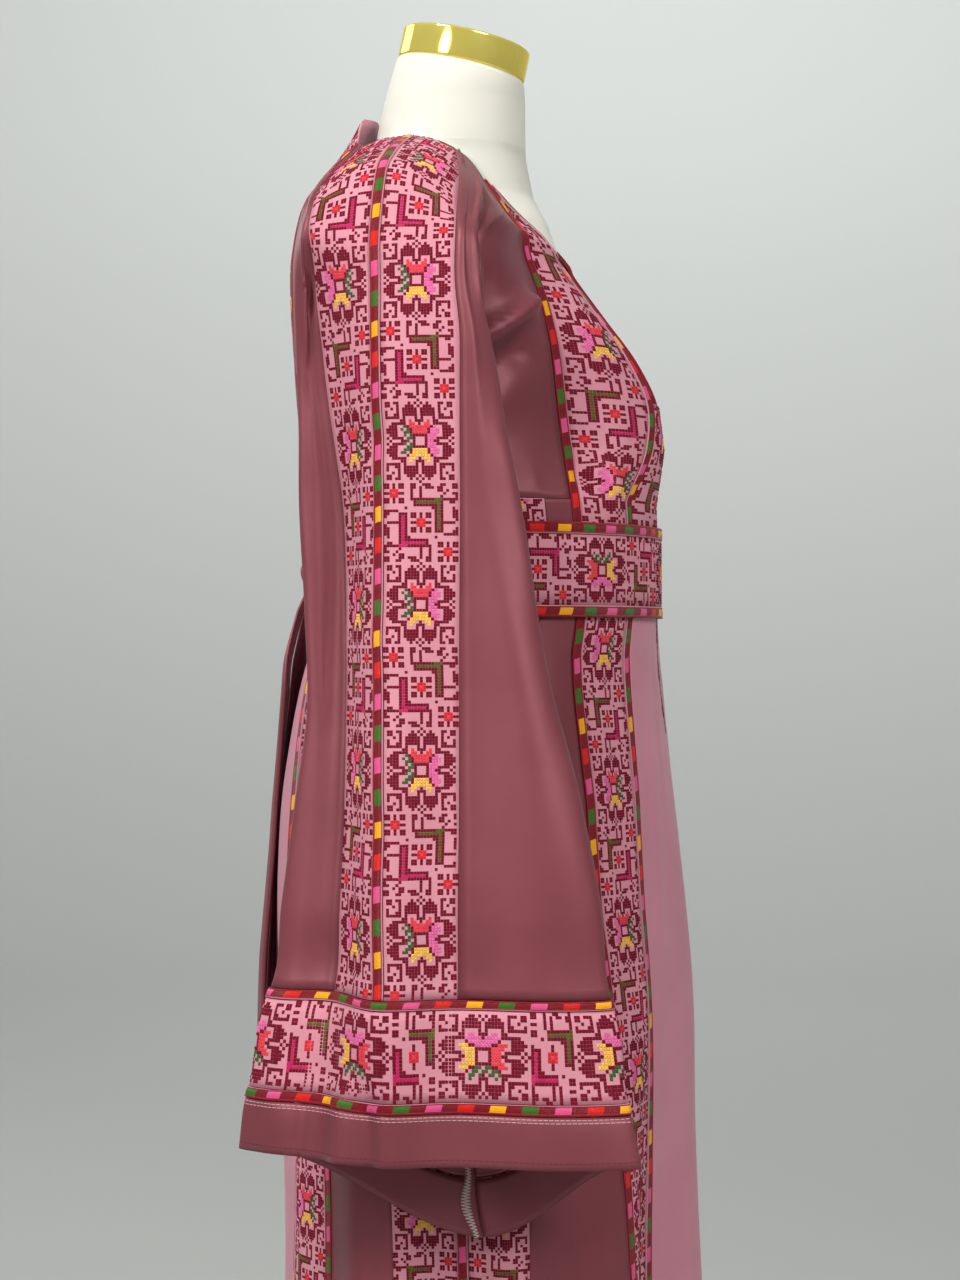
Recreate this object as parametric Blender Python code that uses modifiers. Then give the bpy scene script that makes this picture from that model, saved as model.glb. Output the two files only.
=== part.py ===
"""A long embroidered Palestinian thobe, worn by a limbless dress form on a stand.

Metres, +Z up. The front faces -Y and the wearer's right is -X. The origin is the centre of the
stand's foot, on the floor. Every cloth piece is a wall whose outer face lies on one of three
surfaces: the shoulders, sleeves and bodice (lofted from the section tables below), and the skirt
(a fluted ring that grows down to the hem). In the tables, "out" is the distance from the centre
line towards the wearer's side, and "y" is the distance behind the form's axis.
"""

import math

import bmesh
import bpy
import numpy as np

CLOTH = 0.0016          # wall of the satin and of the stitched strips
BRAID_RAISE = 0.0006    # the braids stand this much above the cloth
SEAM = 0.00015          # half of the gap between two pieces at a seam
BRAID = 0.009           # width of a satin-stitched braid

# The shoulder line of the form: distance out from the neck, and height.
SHOULDER_LINE = (
    (0.000, 1.4450), (0.055, 1.4420), (0.075, 1.4370), (0.110, 1.4250),
    (0.145, 1.4100), (0.175, 1.3900), (0.188, 1.3740), (0.192, 1.3600),
)
SHOULDER_Y = 0.050      # the shoulder line runs this far behind the axis
CHEST_ROUND = 8.0       # drop of the shoulders to the front and the back, per metre squared
BACK_ROUND = 85.0       # drop of the upper back, per metre cubed
NAPE_RISE = 0.027       # the cloth stands up this much along the nape
NECK_DIP = 0.0115       # the front neckline sinks this much where it leaves the shoulders
LEFT_SWAY = 0.020       # the left sleeve hangs this much further back at the cuff
DRESS_OFF = 0.0030      # outer face of the dress above the form's shoulders

# Upper garment, front: rows from the neck down. Each section's points run from the neck edge
# round the bodice, into the crease under the arm, and out round the sleeve to its front strip:
# edge, breast, seam, chest, flank, pit, fold, dip, nose, cheek, strip_front.
FRONT = (
    # height (None: on the shoulders), then out and y of each point
    (None, (.071, -.0155), (.077, -.013), (.083, -.010), (.0825, -.007), (.082, -.004),
     (.0815, -.001), (.081, .002), (.0803, .005), (.0796, .008), (.0788, .011), (.078, .0136)),
    (None, (.052, -.0325), (.070, -.031), (.088, -.028), (.092, -.0245), (.096, -.021),
     (.099, -.0175), (.102, -.014), (.104, -.010), (.106, -.006), (.108, .0005), (.110, .0055)),
    (None, (.043, -.0505), (.068, -.0475), (.0925, -.0385), (.100, -.0365), (.109, -.0335),
     (.118, -.030), (.127, -.0255), (.133, -.020), (.138, -.0145), (.142, -.009), (.145, -.0025)),
    (None, (.040, -.0575), (.068, -.0530), (.0945, -.0410), (.108, -.0390), (.122, -.0365),
     (.137, -.0325), (.150, -.0280), (.158, -.0220), (.165, -.0175), (.170, -.0135), (.174, -.0065)),
    (1.345, (.038, -.0613), (.068, -.0570), (.096, -.0425), (.117, -.0395), (.142, -.0330),
     (.1630, -.0185), (.1650, -.0255), (.176, -.0150), (.1865, -.020), (.1915, -.0155),
     (.194, -.009)),
    (1.310, (.030, -.0868), (.066, -.078), (.0975, -.0545), (.123, -.0470), (.148, -.0330),
     (.1620, -.0080), (.1680, -.0250), (.179, -.0130), (.1900, -.0245), (.1975, -.0185),
     (.202, -.010)),
    (1.270, (.024, -.1160), (.064, -.0975), (.094, -.0630), (.123, -.0500), (.149, -.0290),
     (.1600, .0060), (.1710, -.0240), (.180, -.0210), (.1905, -.0335), (.2020, -.0260),
     (.207, -.0145)),
    (1.235, (.018, -.1325), (.060, -.1070), (.089, -.0665), (.121, -.0505), (.1465, -.0250),
     (.1590, .0180), (.1720, -.0210), (.182, -.0330), (.1925, -.0410), (.2040, -.0300),
     (.209, -.0150)),
    (1.200, (.027, -.1335), (.063, -.1110), (.092, -.0710), (.123, -.0510), (.1460, -.0200),
     (.1600, .0297), (.1715, -.0140), (.182, -.0380), (.1950, -.0470), (.2060, -.0350),
     (.212, -.0155)),
)

# Upper garment, back: the same rows, from the sleeve's back strip to the middle of the back:
# strip_back, blade, heel, lining, pit, flank, side, seam, mid, edge, centre.
BACK = (
    (.078, .0860), (.0775, .0868), (.077, .0875), (.076, .0883), (.075, .0892), (.073, .0903),
    (.0715, .0915), (.070, .0925), (.054, .0955), (.038, .0965), (0, .0934),
), (
    (.110, .0960), (.108, .0968), (.106, .0976), (.104, .0985), (.101, .0995), (.098, .1005),
    (.094, .1018), (.090, .1030), (.068, .1090), (.043, .1140), (0, .1170),
), (
    (.145, .1010), (.142, .1020), (.138, .1032), (.133, .1046), (.127, .1062), (.120, .1080),
    (.112, .1110), (.103, .1135), (.075, .1215), (.046, .1275), (0, .1315),
), (
    (.174, .1010), (.170, .1035), (.164, .1060), (.157, .1085), (.149, .1110), (.139, .1135),
    (.123, .1180), (.107, .1220), (.077, .1300), (.047, .1345), (0, .1380),
), (
    (.188, .1020), (.183, .1080), (.173, .1145), (.166, .1150), (.159, .1120), (.148, .1180),
    (.130, .1265), (.110, .1330), (.080, .1425), (.048, .1475), (0, .1500),
), (
    (.180, .0995), (.179, .1090), (.172, .1170), (.1635, .1120), (.154, .0980), (.1435, .1165),
    (.128, .1265), (.110, .1335), (.080, .1430), (.048, .1485), (0, .1510),
), (
    (.174, .0955), (.1765, .1070), (.171, .1155), (.1635, .1060), (.1545, .0820), (.1450, .1100),
    (.130, .1235), (.110, .1315), (.080, .1410), (.048, .1470), (0, .1495),
), (
    (.172, .0920), (.1765, .1055), (.171, .1140), (.1650, .0980), (.1575, .0580), (.1470, .1000),
    (.132, .1185), (.110, .1285), (.080, .1390), (.048, .1455), (0, .1480),
), (
    (.173, .0870), (.1775, .1030), (.172, .1120), (.1665, .0900), (.1600, .0303), (.1480, .0850),
    (.133, .1100), (.110, .1240), (.080, .1350), (.048, .1420), (0, .1440),
)
# The ridge of the shoulder and the sleeve, between the two: out and y in each row.
RIDGE = ((.076, .050), (.110, .050), (.146, .050), (.176, .050), (.197, .050), (.203, .0485),
         (.208, .047), (.212, .0455), (.215, .044))

# The sleeve below the arm: one closed section a row, from the under-seam round the front:
# seam, inner, fore, nose, cheek, strip_front, ridge, strip_back, blade, heel, lining.
SLEEVE = (
    # height, then out and y of each point
    (1.155, (.1680, .026), (.172, -.012), (.182, -.043), (.197, -.055), (.210, -.040),
     (.215, -.0165), (.220, .0420), (.174, .0797), (.179, .100), (.174, .110), (.169, .078)),
    (1.080, (.1700, .020), (.174, -.026), (.187, -.057), (.206, -.0687), (.219, -.050),
     (.222, -.0174), (.232, .0396), (.183, .0745), (.186, .094), (.180, .103), (.173, .070)),
    (1.000, (.1805, .011), (.184, -.040), (.198, -.074), (.217, -.0865), (.231, -.062),
     (.232, -.0190), (.246, .0365), (.198, .0710), (.199, .090), (.192, .0985), (.184, .064)),
    (0.930, (.1905, .001), (.194, -.050), (.209, -.088), (.228, -.102), (.243, -.070),
     (.243, -.0210), (.259, .0340), (.213, .0690), (.213, .095), (.204, .105), (.194, .064)),
    (0.860, (.1985, -.009), (.202, -.060), (.218, -.100), (.237, -.118), (.254, -.080),
     (.253, -.0220), (.270, .0320), (.226, .0690), (.225, .101), (.214, .112), (.203, .064)),
    (0.8015, (.2045, -.017), (.209, -.070), (.224, -.108), (.243, -.1266), (.260, -.085),
     (.260, -.0230), (.277, .0300), (.236, .0705), (.233, .106), (.221, .118), (.210, .064)),
    (0.7945, (.2060, -.018), (.210, -.071), (.225, -.110), (.244, -.1290), (.261, -.086),
     (.262, -.0230), (.279, .0300), (.240, .0715), (.236, .108), (.222, .121), (.211, .065)),
    (0.7320, (.2125, -.027), (.217, -.081), (.231, -.122), (.250, -.1415), (.268, -.090),
     (.269, -.0240), (.284, .0290), (.252, .0760), (.244, .115), (.229, .132), (.217, .067)),
    (0.7242, (.2135, -.028), (.218, -.083), (.233, -.124), (.252, -.1435), (.270, -.091),
     (.270, -.0240), (.285, .0290), (.255, .0770), (.246, .116), (.230, .134), (.218, .067)),
    (0.6880, (.2165, -.034), (.221, -.089), (.237, -.129), (.257, -.1496), (.274, -.094),
     (.273, -.0240), (.287, .0280), (.262, .0800), (.250, .119), (.234, .138), (.221, .069)),
)
UNDERARM_DROP = 0.060   # the sleeve's under-seam hangs this much lower than its outer side
SLEEVE_TOP, SLEEVE_HEM = 1.200, 0.688
CUFF_ROWS = (14, 15, 16, 17, 18)    # rows of the cuff's upper braid, band, lower braid and hem

# The skirt, from the waist seam to the hem.
SKIRT_COLUMNS = ("height", "half_width", "front", "back", "flutes")
SKIRT = (
    (1.155, .1530, .1325, .1410, .000),
    (1.125, .1500, .1335, .1300, .000),
    (1.075, .1515, .1335, .1300, .000),
    (1.035, .1580, .1345, .1440, .000),
    (0.960, .1700, .1410, .1590, .002),
    (0.880, .1820, .1480, .1670, .0045),
    (0.780, .1915, .1550, .1670, .007),
    (0.660, .2010, .1545, .1590, .010),
    (0.520, .2190, .1570, .1540, .014),
    (0.360, .2540, .1660, .1630, .018),
    (0.190, .2910, .1780, .1770, .021),
    (0.025, .3220, .1920, .1920, .023),
)
FLUTES = ((10, .62), (6, .38))      # waves round the skirt, and each one's share
STRIP = 0.047           # width of a skirt strip, 23 stitches
# The plain panels' shares of what the strips leave, on one side, by height.
PLAIN_COLUMNS = ("height", "centre_front", "side_front", "side_back", "centre_back")
PLAIN = (
    (1.155, .285, .120, .245, .350),
    (1.040, .306, .150, .214, .330),
    (0.930, .265, .190, .205, .340),
    (0.845, .262, .205, .195, .338),
    (0.640, .205, .255, .195, .345),
    (0.025, .150, .310, .230, .310),
)

BELT_TOP, BELT_BOTTOM = 1.138, 1.067
BELT_OFF, BELT_WALL = 0.0012, 0.0018
BELT_STEP = 0.0004      # the height in which a raised braid falls to the belt's cloth
BELT_COLUMNS = 27       # points round half of the belt
KNOT = (0.024, 0.0095, 0.018)       # half of the knot's width, depth and height
KNOT_FACETS = (14, 8)   # round the knot, and up it
KNOT_GAP = 0.0011       # between the belt's line and the knot
TIE_LENGTHS = {-1: 0.370, 1: 0.335}     # of the tails on the wearer's right and left
TIE_WIDTH, TIE_WALL = 0.044, 0.0024
TIE_TOP = 0.004         # the tails leave the knot this far below its middle
TIE_NECK, TIE_SPREAD = 0.30, 0.25   # share of the width at the knot, and of the length to full width
TIE_APART = 0.0015      # from the centre line to each tail
TIE_WAVE, TIE_WAVES = 0.0010, 9.0   # depth of the tails' waves, and their angle over the length
TIE_ROUND = 4.0         # the tails wrap round the back this much, per metre squared
TIE_ROWS, TIE_POINTS = 13, 5        # grid of each tail, down and across
TIE_COLUMNS = ("height", "y")
TIE = ((1.100, .1440), (1.075, .1545), (1.034, .1634), (1.000, .1665), (0.920, .1749),
       (0.800, .1834), (0.720, .1860))

FORM_AXIS_Y = 0.045     # the form's sections are drawn round this line
FORM_REACH, REACH_STEPS = 0.26, 1041    # how far out the form is searched, and in how many steps
FORM_WIDER = 1.0, 0.075             # of the shoulders' width, below the neck, and added at the chest
FORM_DEEPER = 1.05, 0.11            # of the shoulders' depth
FORM_EASE = 1.405, 1.362            # heights between which the form draws in under the cloth
NECK_ROOT = 0.02                    # the neck starts this far below its table
# The form's body under the shoulders: sections from the hips up to the chest.
TORSO_COLUMNS = ("height", "half_width", "front", "back", "squareness")
TORSO = (
    (0.850, .118, .060, .085, 2.0),
    (0.858, .136, .076, .104, 2.1),
    (0.900, .148, .088, .118, 2.2),
    (0.960, .148, .090, .122, 2.2),
    (1.040, .136, .082, .108, 2.2),
    (1.110, .120, .074, .090, 2.2),
    (1.160, .126, .078, .100, 2.1),
    (1.220, .136, .086, .120, 2.1),
    (1.270, .142, .080, .130, 2.1),
    (1.310, .147, .064, .134, 2.1),
    (1.345, .160, .048, .135, 2.2),
)
NECK_COLUMNS = ("height", "half_width", "front", "back")
NECK = (
    (1.310, .048, .0640, .100),
    (1.345, .050, .0580, .100),
    (1.362, .053, .0530, .100),
    (1.383, .055, .0455, .100),
    (1.402, .056, .0350, .099),
    (1.434, .055, .0285, .096),
    (1.450, .055, .0280, .092),
    (1.480, .054, .028, .085),
    (1.510, .053, .028, .077),
)
SHOULDER_RINGS = (1.362, 1.378, 1.390, 1.400, 1.410, 1.420, 1.430, 1.4365)
NECK_RINGS = (1.452, 1.478)
CAP_MIDDLE, CAP_HEIGHT = (0.0210, 1.5180), 0.0245     # y and z of its centre
CAP_TILT = math.radians(12)
CAP_RADIUS = 0.0515
CAP_EDGE = 0.002        # rounding of the cap's edges
# The linen's last rings under the cap: radius past the cap's, and distance below it.
NECK_TOP = ((0.001, 0.0033), (-0.0005, 0.0003))
FOOT_RADIUS, POLE_RADIUS = 0.150, 0.0125
POLE_GAP = 0.0003       # between the pole and the linen body
# The foot's rounded rim, inward from its radius, and the collar round the pole, outward from it.
FOOT_RIM = ((-0.003, 0.0), (0.0, 0.003), (0.0, 0.008), (-0.006, 0.012))
COLLAR = ((0.020, 0.020), (0.012, 0.050), (0.0, 0.058))
FORM_COLUMNS = 30       # facets round the form, its cap and its stand

COLOURS = {
    # finish: colour, roughness, metallic
    "satin": ((0.26, 0.10, 0.13), 0.42, 0.0),
    "pink_cloth": ((0.48, 0.20, 0.26), 0.50, 0.0),
    "stitched": ((0.50, 0.17, 0.24), 0.80, 0.0),
    "braid": ((0.30, 0.02, 0.05), 0.45, 0.0),
    "form_linen": ((0.82, 0.82, 0.78), 0.85, 0.0),
    "gold": ((0.80, 0.60, 0.22), 0.18, 1.0),
}


def table(columns, rows):
    """The rows of a table as one array for each named column."""
    return dict(zip(columns, np.array(rows, float).T))


def at_height(part, name, height):
    """A column of a table whose heights run down or up, read at any height."""
    order = np.argsort(part["height"])
    return np.interp(height, part["height"][order], part[name][order])


def smooth_step(value, start, end):
    share = np.clip((value - start) / (end - start), 0, 1)
    return share * share * (3 - 2 * share)


def shoulder_height(out, y):
    """Height of the form's shoulders: the shoulder line, less a rounded drop to front and back."""
    line_out, line_height = np.array(SHOULDER_LINE).T
    away = y - SHOULDER_Y
    drop = CHEST_ROUND * away ** 2
    back = BACK_ROUND * np.abs(away) ** 3
    inner = smooth_step(out, 0.115, 0.055) * (away > 0)
    dip = NECK_DIP * smooth_step(out, 0.125, 0.085)
    dip *= smooth_step(y, 0.005, -0.025) * smooth_step(y, -0.060, -0.030)
    return np.interp(out, line_out, line_height) - drop * (1 - inner) - back * inner - dip


def nape_rise(out, y):
    """The stand of the cloth along the back of the neck."""
    behind = smooth_step(y, 0.040, 0.080) * smooth_step(y, 0.1150, 0.0934)
    return NAPE_RISE * smooth_step(out, 0.070, 0.030) * behind


def through(points, per_span, closed=False):
    """A smooth curve through points (Catmull-Rom), with per_span samples from one to the next."""
    points = np.asarray(points, float)
    if closed:
        padded = np.vstack([points[-1:], points, points[:2]])
    else:
        first = 2 * points[0] - points[1]
        last = 2 * points[-1] - points[-2]
        padded = np.vstack([first, points, last])
    before, start, end, after = padded[:-3], padded[1:-2], padded[2:-1], padded[3:]
    share = (np.arange(per_span) / per_span)[:, None, None]
    curve = 0.5 * (
        2 * start
        + (end - before) * share
        + (2 * before - 5 * start + 4 * end - after) * share ** 2
        + (3 * start - 3 * end + after - before) * share ** 3
    )
    curve = curve.transpose(1, 0, 2).reshape(-1, points.shape[1])
    return curve if closed else np.vstack([curve, padded[-2:-1]])


PER_SPAN = 12           # samples between two points of a section
SEAM_U, PIT_U, STRIP_FRONT_U = 2, 5, 10
RIDGE_U, STRIP_BACK_U = 11, 12
BACK_PIT_U, BACK_SEAM_U, BACK_EDGE_U, LAST_U = 16, 19, 21, 22


def waist_point(out, back):
    """The point of the waist seam at this distance out, at the front or the back."""
    skirt = table(SKIRT_COLUMNS, SKIRT)
    half, front, rear = skirt["half_width"][0], skirt["front"][0], skirt["back"][0]
    middle, depth = (rear - front) / 2, (rear + front) / 2
    reach = depth * math.sqrt(max(0.0, 1 - (out / half) ** 2))
    return out, middle + (reach if back else -reach)


def upper_rows():
    """Each section of the shoulders, the bodice and the sleeve, from the neck edge to the back."""
    rows = []
    for front, ridge, back in zip(FRONT, RIDGE, BACK):
        flat = through([*front[1:], ridge, *back], PER_SPAN)
        if front[0] is None:
            height = shoulder_height(flat[:, 0], flat[:, 1]) + nape_rise(flat[:, 0], flat[:, 1])
            height = height + DRESS_OFF
        else:
            height = np.full(len(flat), front[0])
        rows.append(np.column_stack([flat, height]))
    return np.array(rows)


def sleeve_rows():
    """Each closed section of the hanging sleeve, whose under-seam side hangs lower."""
    rows = []
    for section in SLEEVE:
        flat = through(section[1:], PER_SPAN, closed=True)
        flat = np.vstack([flat, flat[:1]])
        nose, heel = section[4][1], section[10][1]
        seam_y = section[1][1]
        inner_side = np.arange(len(flat)) / PER_SPAN
        inner = np.where((inner_side < 3) | (inner_side > 9), 1.0, 0.0)
        span = np.where(flat[:, 1] < seam_y, seam_y - nose, heel - seam_y)
        sag = np.cos(np.clip(np.abs(flat[:, 1] - seam_y) / span, 0, 1) * math.pi / 2) ** 2
        drop = UNDERARM_DROP * (SLEEVE_TOP - section[0]) / (SLEEVE_TOP - SLEEVE_HEM)
        rows.append(np.column_stack([flat, section[0] - drop * sag * inner]))
    return np.array(rows)


def bodice_row():
    """The bodice's lowest section, on the waist seam, as its front and its back."""
    front = [waist_point(out, False) for out in (.062, .090, .119, .137, .1485)]
    back = [waist_point(out, True) for out in (.149, .133, .108, .080, .048, 0)]
    side = (SKIRT[0][1] * 0.991, .030)
    flat = through([*front, side, *back], PER_SPAN)
    row = np.column_stack([flat, np.full(len(flat), SKIRT[0][0] + 4 * SEAM)])
    corner = PIT_U * PER_SPAN
    return row[: corner + 1], row[corner:]


def outward(points, closed=False):
    """Unit normals of a grid of points, rows down and columns round, facing out."""
    along = np.gradient(points, axis=1)
    if closed:
        along[:, 0] = along[:, -1] = points[:, 1] - points[:, -2]
    down = np.gradient(points, axis=0)
    normal = np.cross(along, down)
    return normal / np.linalg.norm(normal, axis=2, keepdims=True)


def to_right(grid):
    """From (out, y, height) to (x, y, z) on the wearer's right."""
    return grid * np.array([-1.0, 1.0, 1.0])


def regions():
    """The upper garment as grids: front bodice, sleeve and back bodice, with their normals."""
    upper = upper_rows()
    corner, back_corner = PIT_U * PER_SPAN, BACK_PIT_U * PER_SPAN
    front_last, back_last = bodice_row()
    sleeve = np.concatenate([upper[:, corner:back_corner + 1], sleeve_rows()])
    front = np.concatenate([upper[:, :corner + 1], front_last[None]])
    back = np.concatenate([upper[:, back_corner:], back_last[None]])
    whole = outward(to_right(upper))
    found = {}
    parts = (("front", front, slice(0, corner + 1)),
             ("sleeve", sleeve, slice(corner, back_corner + 1)),
             ("back", back, slice(back_corner, None)))
    for name, grid, columns in parts:
        grid = to_right(grid)
        normals = outward(grid, closed=False)
        last = len(upper)
        normals[:last] = whole[:, columns]
        if name == "sleeve":
            normals[last:] = outward(grid, closed=True)[last:]
            flat_seam = normals[last:, [0, -1]].mean(axis=1)
            flat_seam[:, 1] = 0
            flat_seam /= np.linalg.norm(flat_seam, axis=1, keepdims=True)
            normals[last:, 0] = normals[last:, -1] = flat_seam
        found[name] = (grid, normals)
    down = np.array([0.0, 0.0, -1.0])
    for name, column in (("front", -1), ("back", 0)):
        normals = found[name][1]
        normals[-1, :, 2] = 0
        normals[-1] /= np.linalg.norm(normals[-1], axis=1, keepdims=True)
        normals[len(upper) - 1, column] = down
        normals[-1, column] = (-1.0, 0.0, 0.0)
    found["sleeve"][1][len(upper) - 1, [0, -1]] = down
    return found


def lengths(row):
    steps = np.linalg.norm(np.diff(row, axis=0), axis=1)
    return np.concatenate([[0.0], np.cumsum(steps)])


def pick(grid, normals, positions):
    """Rows of a grid and its normals read at given lengths along each row."""
    points, facing = [], []
    for row, normal, wanted in zip(grid, normals, positions):
        along = lengths(row)
        points.append(np.column_stack([np.interp(wanted, along, row[:, k]) for k in range(3)]))
        facing.append(np.column_stack([np.interp(wanted, along, normal[:, k]) for k in range(3)]))
    facing = np.array(facing)
    return np.array(points), facing / np.linalg.norm(facing, axis=2, keepdims=True)


def band_of(grid, normals, start, end, columns):
    """A strip of a grid between two edges, each a sample number plus metres along the row."""
    positions = []
    for number, row in enumerate(grid):
        along = lengths(row)
        moved_start, moved_end = (np.broadcast_to(edge[1], len(grid))[number] for edge in (start, end))
        first = along[start[0]] + moved_start + SEAM
        last = along[end[0]] + moved_end - SEAM
        positions.append(np.linspace(first, last, columns + 1))
    return pick(grid, normals, positions)


def quads_of(rows, columns, first=0):
    """Faces of a grid of points, numbered row by row, wound to face out on the wearer's right."""
    corner = first + np.arange((rows - 1) * columns).reshape(rows - 1, columns)[:, :-1]
    corner = corner.ravel()
    return np.column_stack([corner, corner + columns, corner + columns + 1, corner + 1])


def close_columns(rows, columns):
    """Faces of a grid whose last column joins its first."""
    index = np.arange(rows * columns).reshape(rows, columns)
    beside = np.roll(index, -1, axis=1)
    return np.stack([index[:-1], index[1:], beside[1:], beside[:-1]], axis=-1).reshape(-1, 4)


def halves(points, faces):
    """Every four-sided face cut in two along its shorter diagonal."""
    if faces.shape[1] == 3:
        return faces
    a, b, c, d = faces.T
    first = np.linalg.norm(points[a] - points[c], axis=1)
    second = np.linalg.norm(points[b] - points[d], axis=1)
    along_first = (first <= second)[:, None, None]
    one_way = np.stack([np.column_stack([a, b, c]), np.column_stack([a, c, d])], axis=1)
    other_way = np.stack([np.column_stack([a, b, d]), np.column_stack([b, c, d])], axis=1)
    return np.where(along_first, one_way, other_way).reshape(-1, 3)


def wall_mesh(name, outer, inner, faces):
    """A closed wall: the outer faces, the inner ones turned round, and a rim along every edge."""
    count = len(outer)
    faces = [tuple(int(corner) for corner in face) for face in halves(outer, faces)]
    edges = {(a, b) for face in faces for a, b in zip(face, face[1:] + face[:1])}
    rim = []
    for a, b in sorted(edges):
        if (b, a) in edges:
            continue
        if a < b:
            rim += [(b, a, b + count), (a, a + count, b + count)]
        else:
            rim += [(b, a, a + count), (b, a + count, b + count)]
    back = [tuple(corner + count for corner in reversed(face)) for face in faces]
    mesh = bpy.data.meshes.new(name)
    mesh.from_pydata(np.vstack([outer, inner]).tolist(), [], faces + back + rim)
    mesh.validate()
    return mesh


def material(finish):
    """The shared material of a finish."""
    found = bpy.data.materials.get(finish)
    if found:
        return found
    colour, roughness, metallic = COLOURS[finish]
    found = bpy.data.materials.new(finish)
    found.use_nodes = True
    shader = found.node_tree.nodes["Principled BSDF"]
    shader.inputs["Base Color"].default_value = (*colour, 1)
    shader.inputs["Roughness"].default_value = roughness
    shader.inputs["Metallic"].default_value = metallic
    return found


def add(name, mesh, finish):
    """Puts a mesh in the thobe's collection, facing out and shaded smooth."""
    work = bmesh.new()
    work.from_mesh(mesh)
    bmesh.ops.recalc_face_normals(work, faces=work.faces)
    if work.calc_volume(signed=True) < 0:
        bmesh.ops.reverse_faces(work, faces=work.faces)
    work.to_mesh(mesh)
    work.free()
    mesh.shade_smooth()
    mesh.set_sharp_from_angle(angle=math.radians(50))
    mesh.materials.append(material(finish))
    piece = bpy.data.objects.new(name, mesh)
    thobe.objects.link(piece)
    return piece


def mirrored(points, sway):
    """The same points on the wearer's left, where the hanging sleeve is also swayed back."""
    back = LEFT_SWAY * smooth_step(points[:, 2], 1.150, 0.800) * sway
    return np.column_stack([-points[:, 0], points[:, 1] + back, points[:, 2]])


def add_pair(name, points, normals, faces, finish, raise_by=0.0, sway=True):
    """A cloth piece on the wearer's right, and its mirror image on the left."""
    points = points.reshape(-1, 3)
    normals = normals.reshape(-1, 3)
    outer = points + raise_by * normals
    inner = points - CLOTH * normals
    add(name + "_right", wall_mesh(name + "_right", outer, inner, faces), finish)
    left = wall_mesh(name + "_left", mirrored(outer, sway), mirrored(inner, sway), faces[:, ::-1])
    add(name + "_left", left, finish)


def add_strip(name, region, start, end, columns, finish, rows=None, raise_by=0.0):
    """A strip of a region on both sides of the dress."""
    grid, normals = region
    rows = slice(None) if rows is None else rows
    points, facing = band_of(grid[rows], normals[rows], start, end, columns)
    add_pair(name, points, facing, quads_of(*points.shape[:2]), finish, raise_by)


def at(u, metres=0.0):
    """An edge at the section's point u, moved along the section by metres."""
    return int(u * PER_SPAN), metres


def upper_front_and_back(found):
    """The bodice's strips and braids, front and back, and the pink centre of the back."""
    front, back = found["front"], found["back"]
    braid = dict(finish="braid", raise_by=BRAID_RAISE)
    across = np.array([lengths(row)[SEAM_U * PER_SPAN] for row in front[0]])
    width = np.minimum(BRAID, 0.3 * across)
    add_strip("neck_braid", front, at(0), at(0, width), 1, **braid)
    add_strip("bodice_front_strip", front, at(0, width), at(SEAM_U, -width), 4, "stitched")
    add_strip("bodice_front_braid", front, at(SEAM_U, -width), at(SEAM_U), 1, **braid)
    seam = at(BACK_SEAM_U - BACK_PIT_U)
    edge = at(BACK_EDGE_U - BACK_PIT_U)
    add_strip("bodice_back_braid", back, seam, (seam[0], BRAID), 1, **braid)
    add_strip("bodice_back_strip", back, (seam[0], BRAID), edge, 3, "stitched")
    points, facing = band_of(*back, edge, at(LAST_U - BACK_PIT_U, SEAM), 3)
    add_across("bodice_back_centre", points, facing, "pink_cloth")


def add_across(name, points, facing, finish, raise_by=0.0):
    """A piece that crosses the centre line: the right half, joined to its mirror image."""
    mirror = np.array([-1.0, 1.0, 1.0])
    points[:, -1, 0] = 0
    facing[:, -1, 0] = 0
    facing[:, -1] /= np.linalg.norm(facing[:, -1], axis=1, keepdims=True)
    points = np.concatenate([points, points[:, -2::-1] * mirror], axis=1)
    facing = np.concatenate([facing, facing[:, -2::-1] * mirror], axis=1)
    faces = quads_of(*points.shape[:2])
    points, facing = points.reshape(-1, 3), facing.reshape(-1, 3)
    mesh = wall_mesh(name, points + raise_by * facing, points - CLOTH * facing, faces)
    add(name, mesh, finish)


def front_insert(front):
    """The stitched insert that closes the V of the front, between the two neck braids."""
    grid, _ = front
    edge = grid[-3:, 0]
    middle_y = np.array([-.1350, -.1395, waist_point(0, False)[1]])
    columns = []
    for share in np.linspace(0, 1, 4):
        point = edge * [1 - share, 1, 1]
        point[:, 1] = edge[:, 1] + (middle_y - edge[:, 1]) * (1 - (1 - share) ** 2)
        columns.append(point)
    points = np.stack(columns, axis=1)
    points[:, 0, 0] += 6 * SEAM
    both = np.concatenate([points, points[:, -2::-1] * [-1, 1, 1]], axis=1)
    facing = -outward(both)
    facing = facing * np.sign(-facing[:, :, 1:2])
    add_across("bodice_front_insert", points, facing[:, :4], "stitched")


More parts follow.
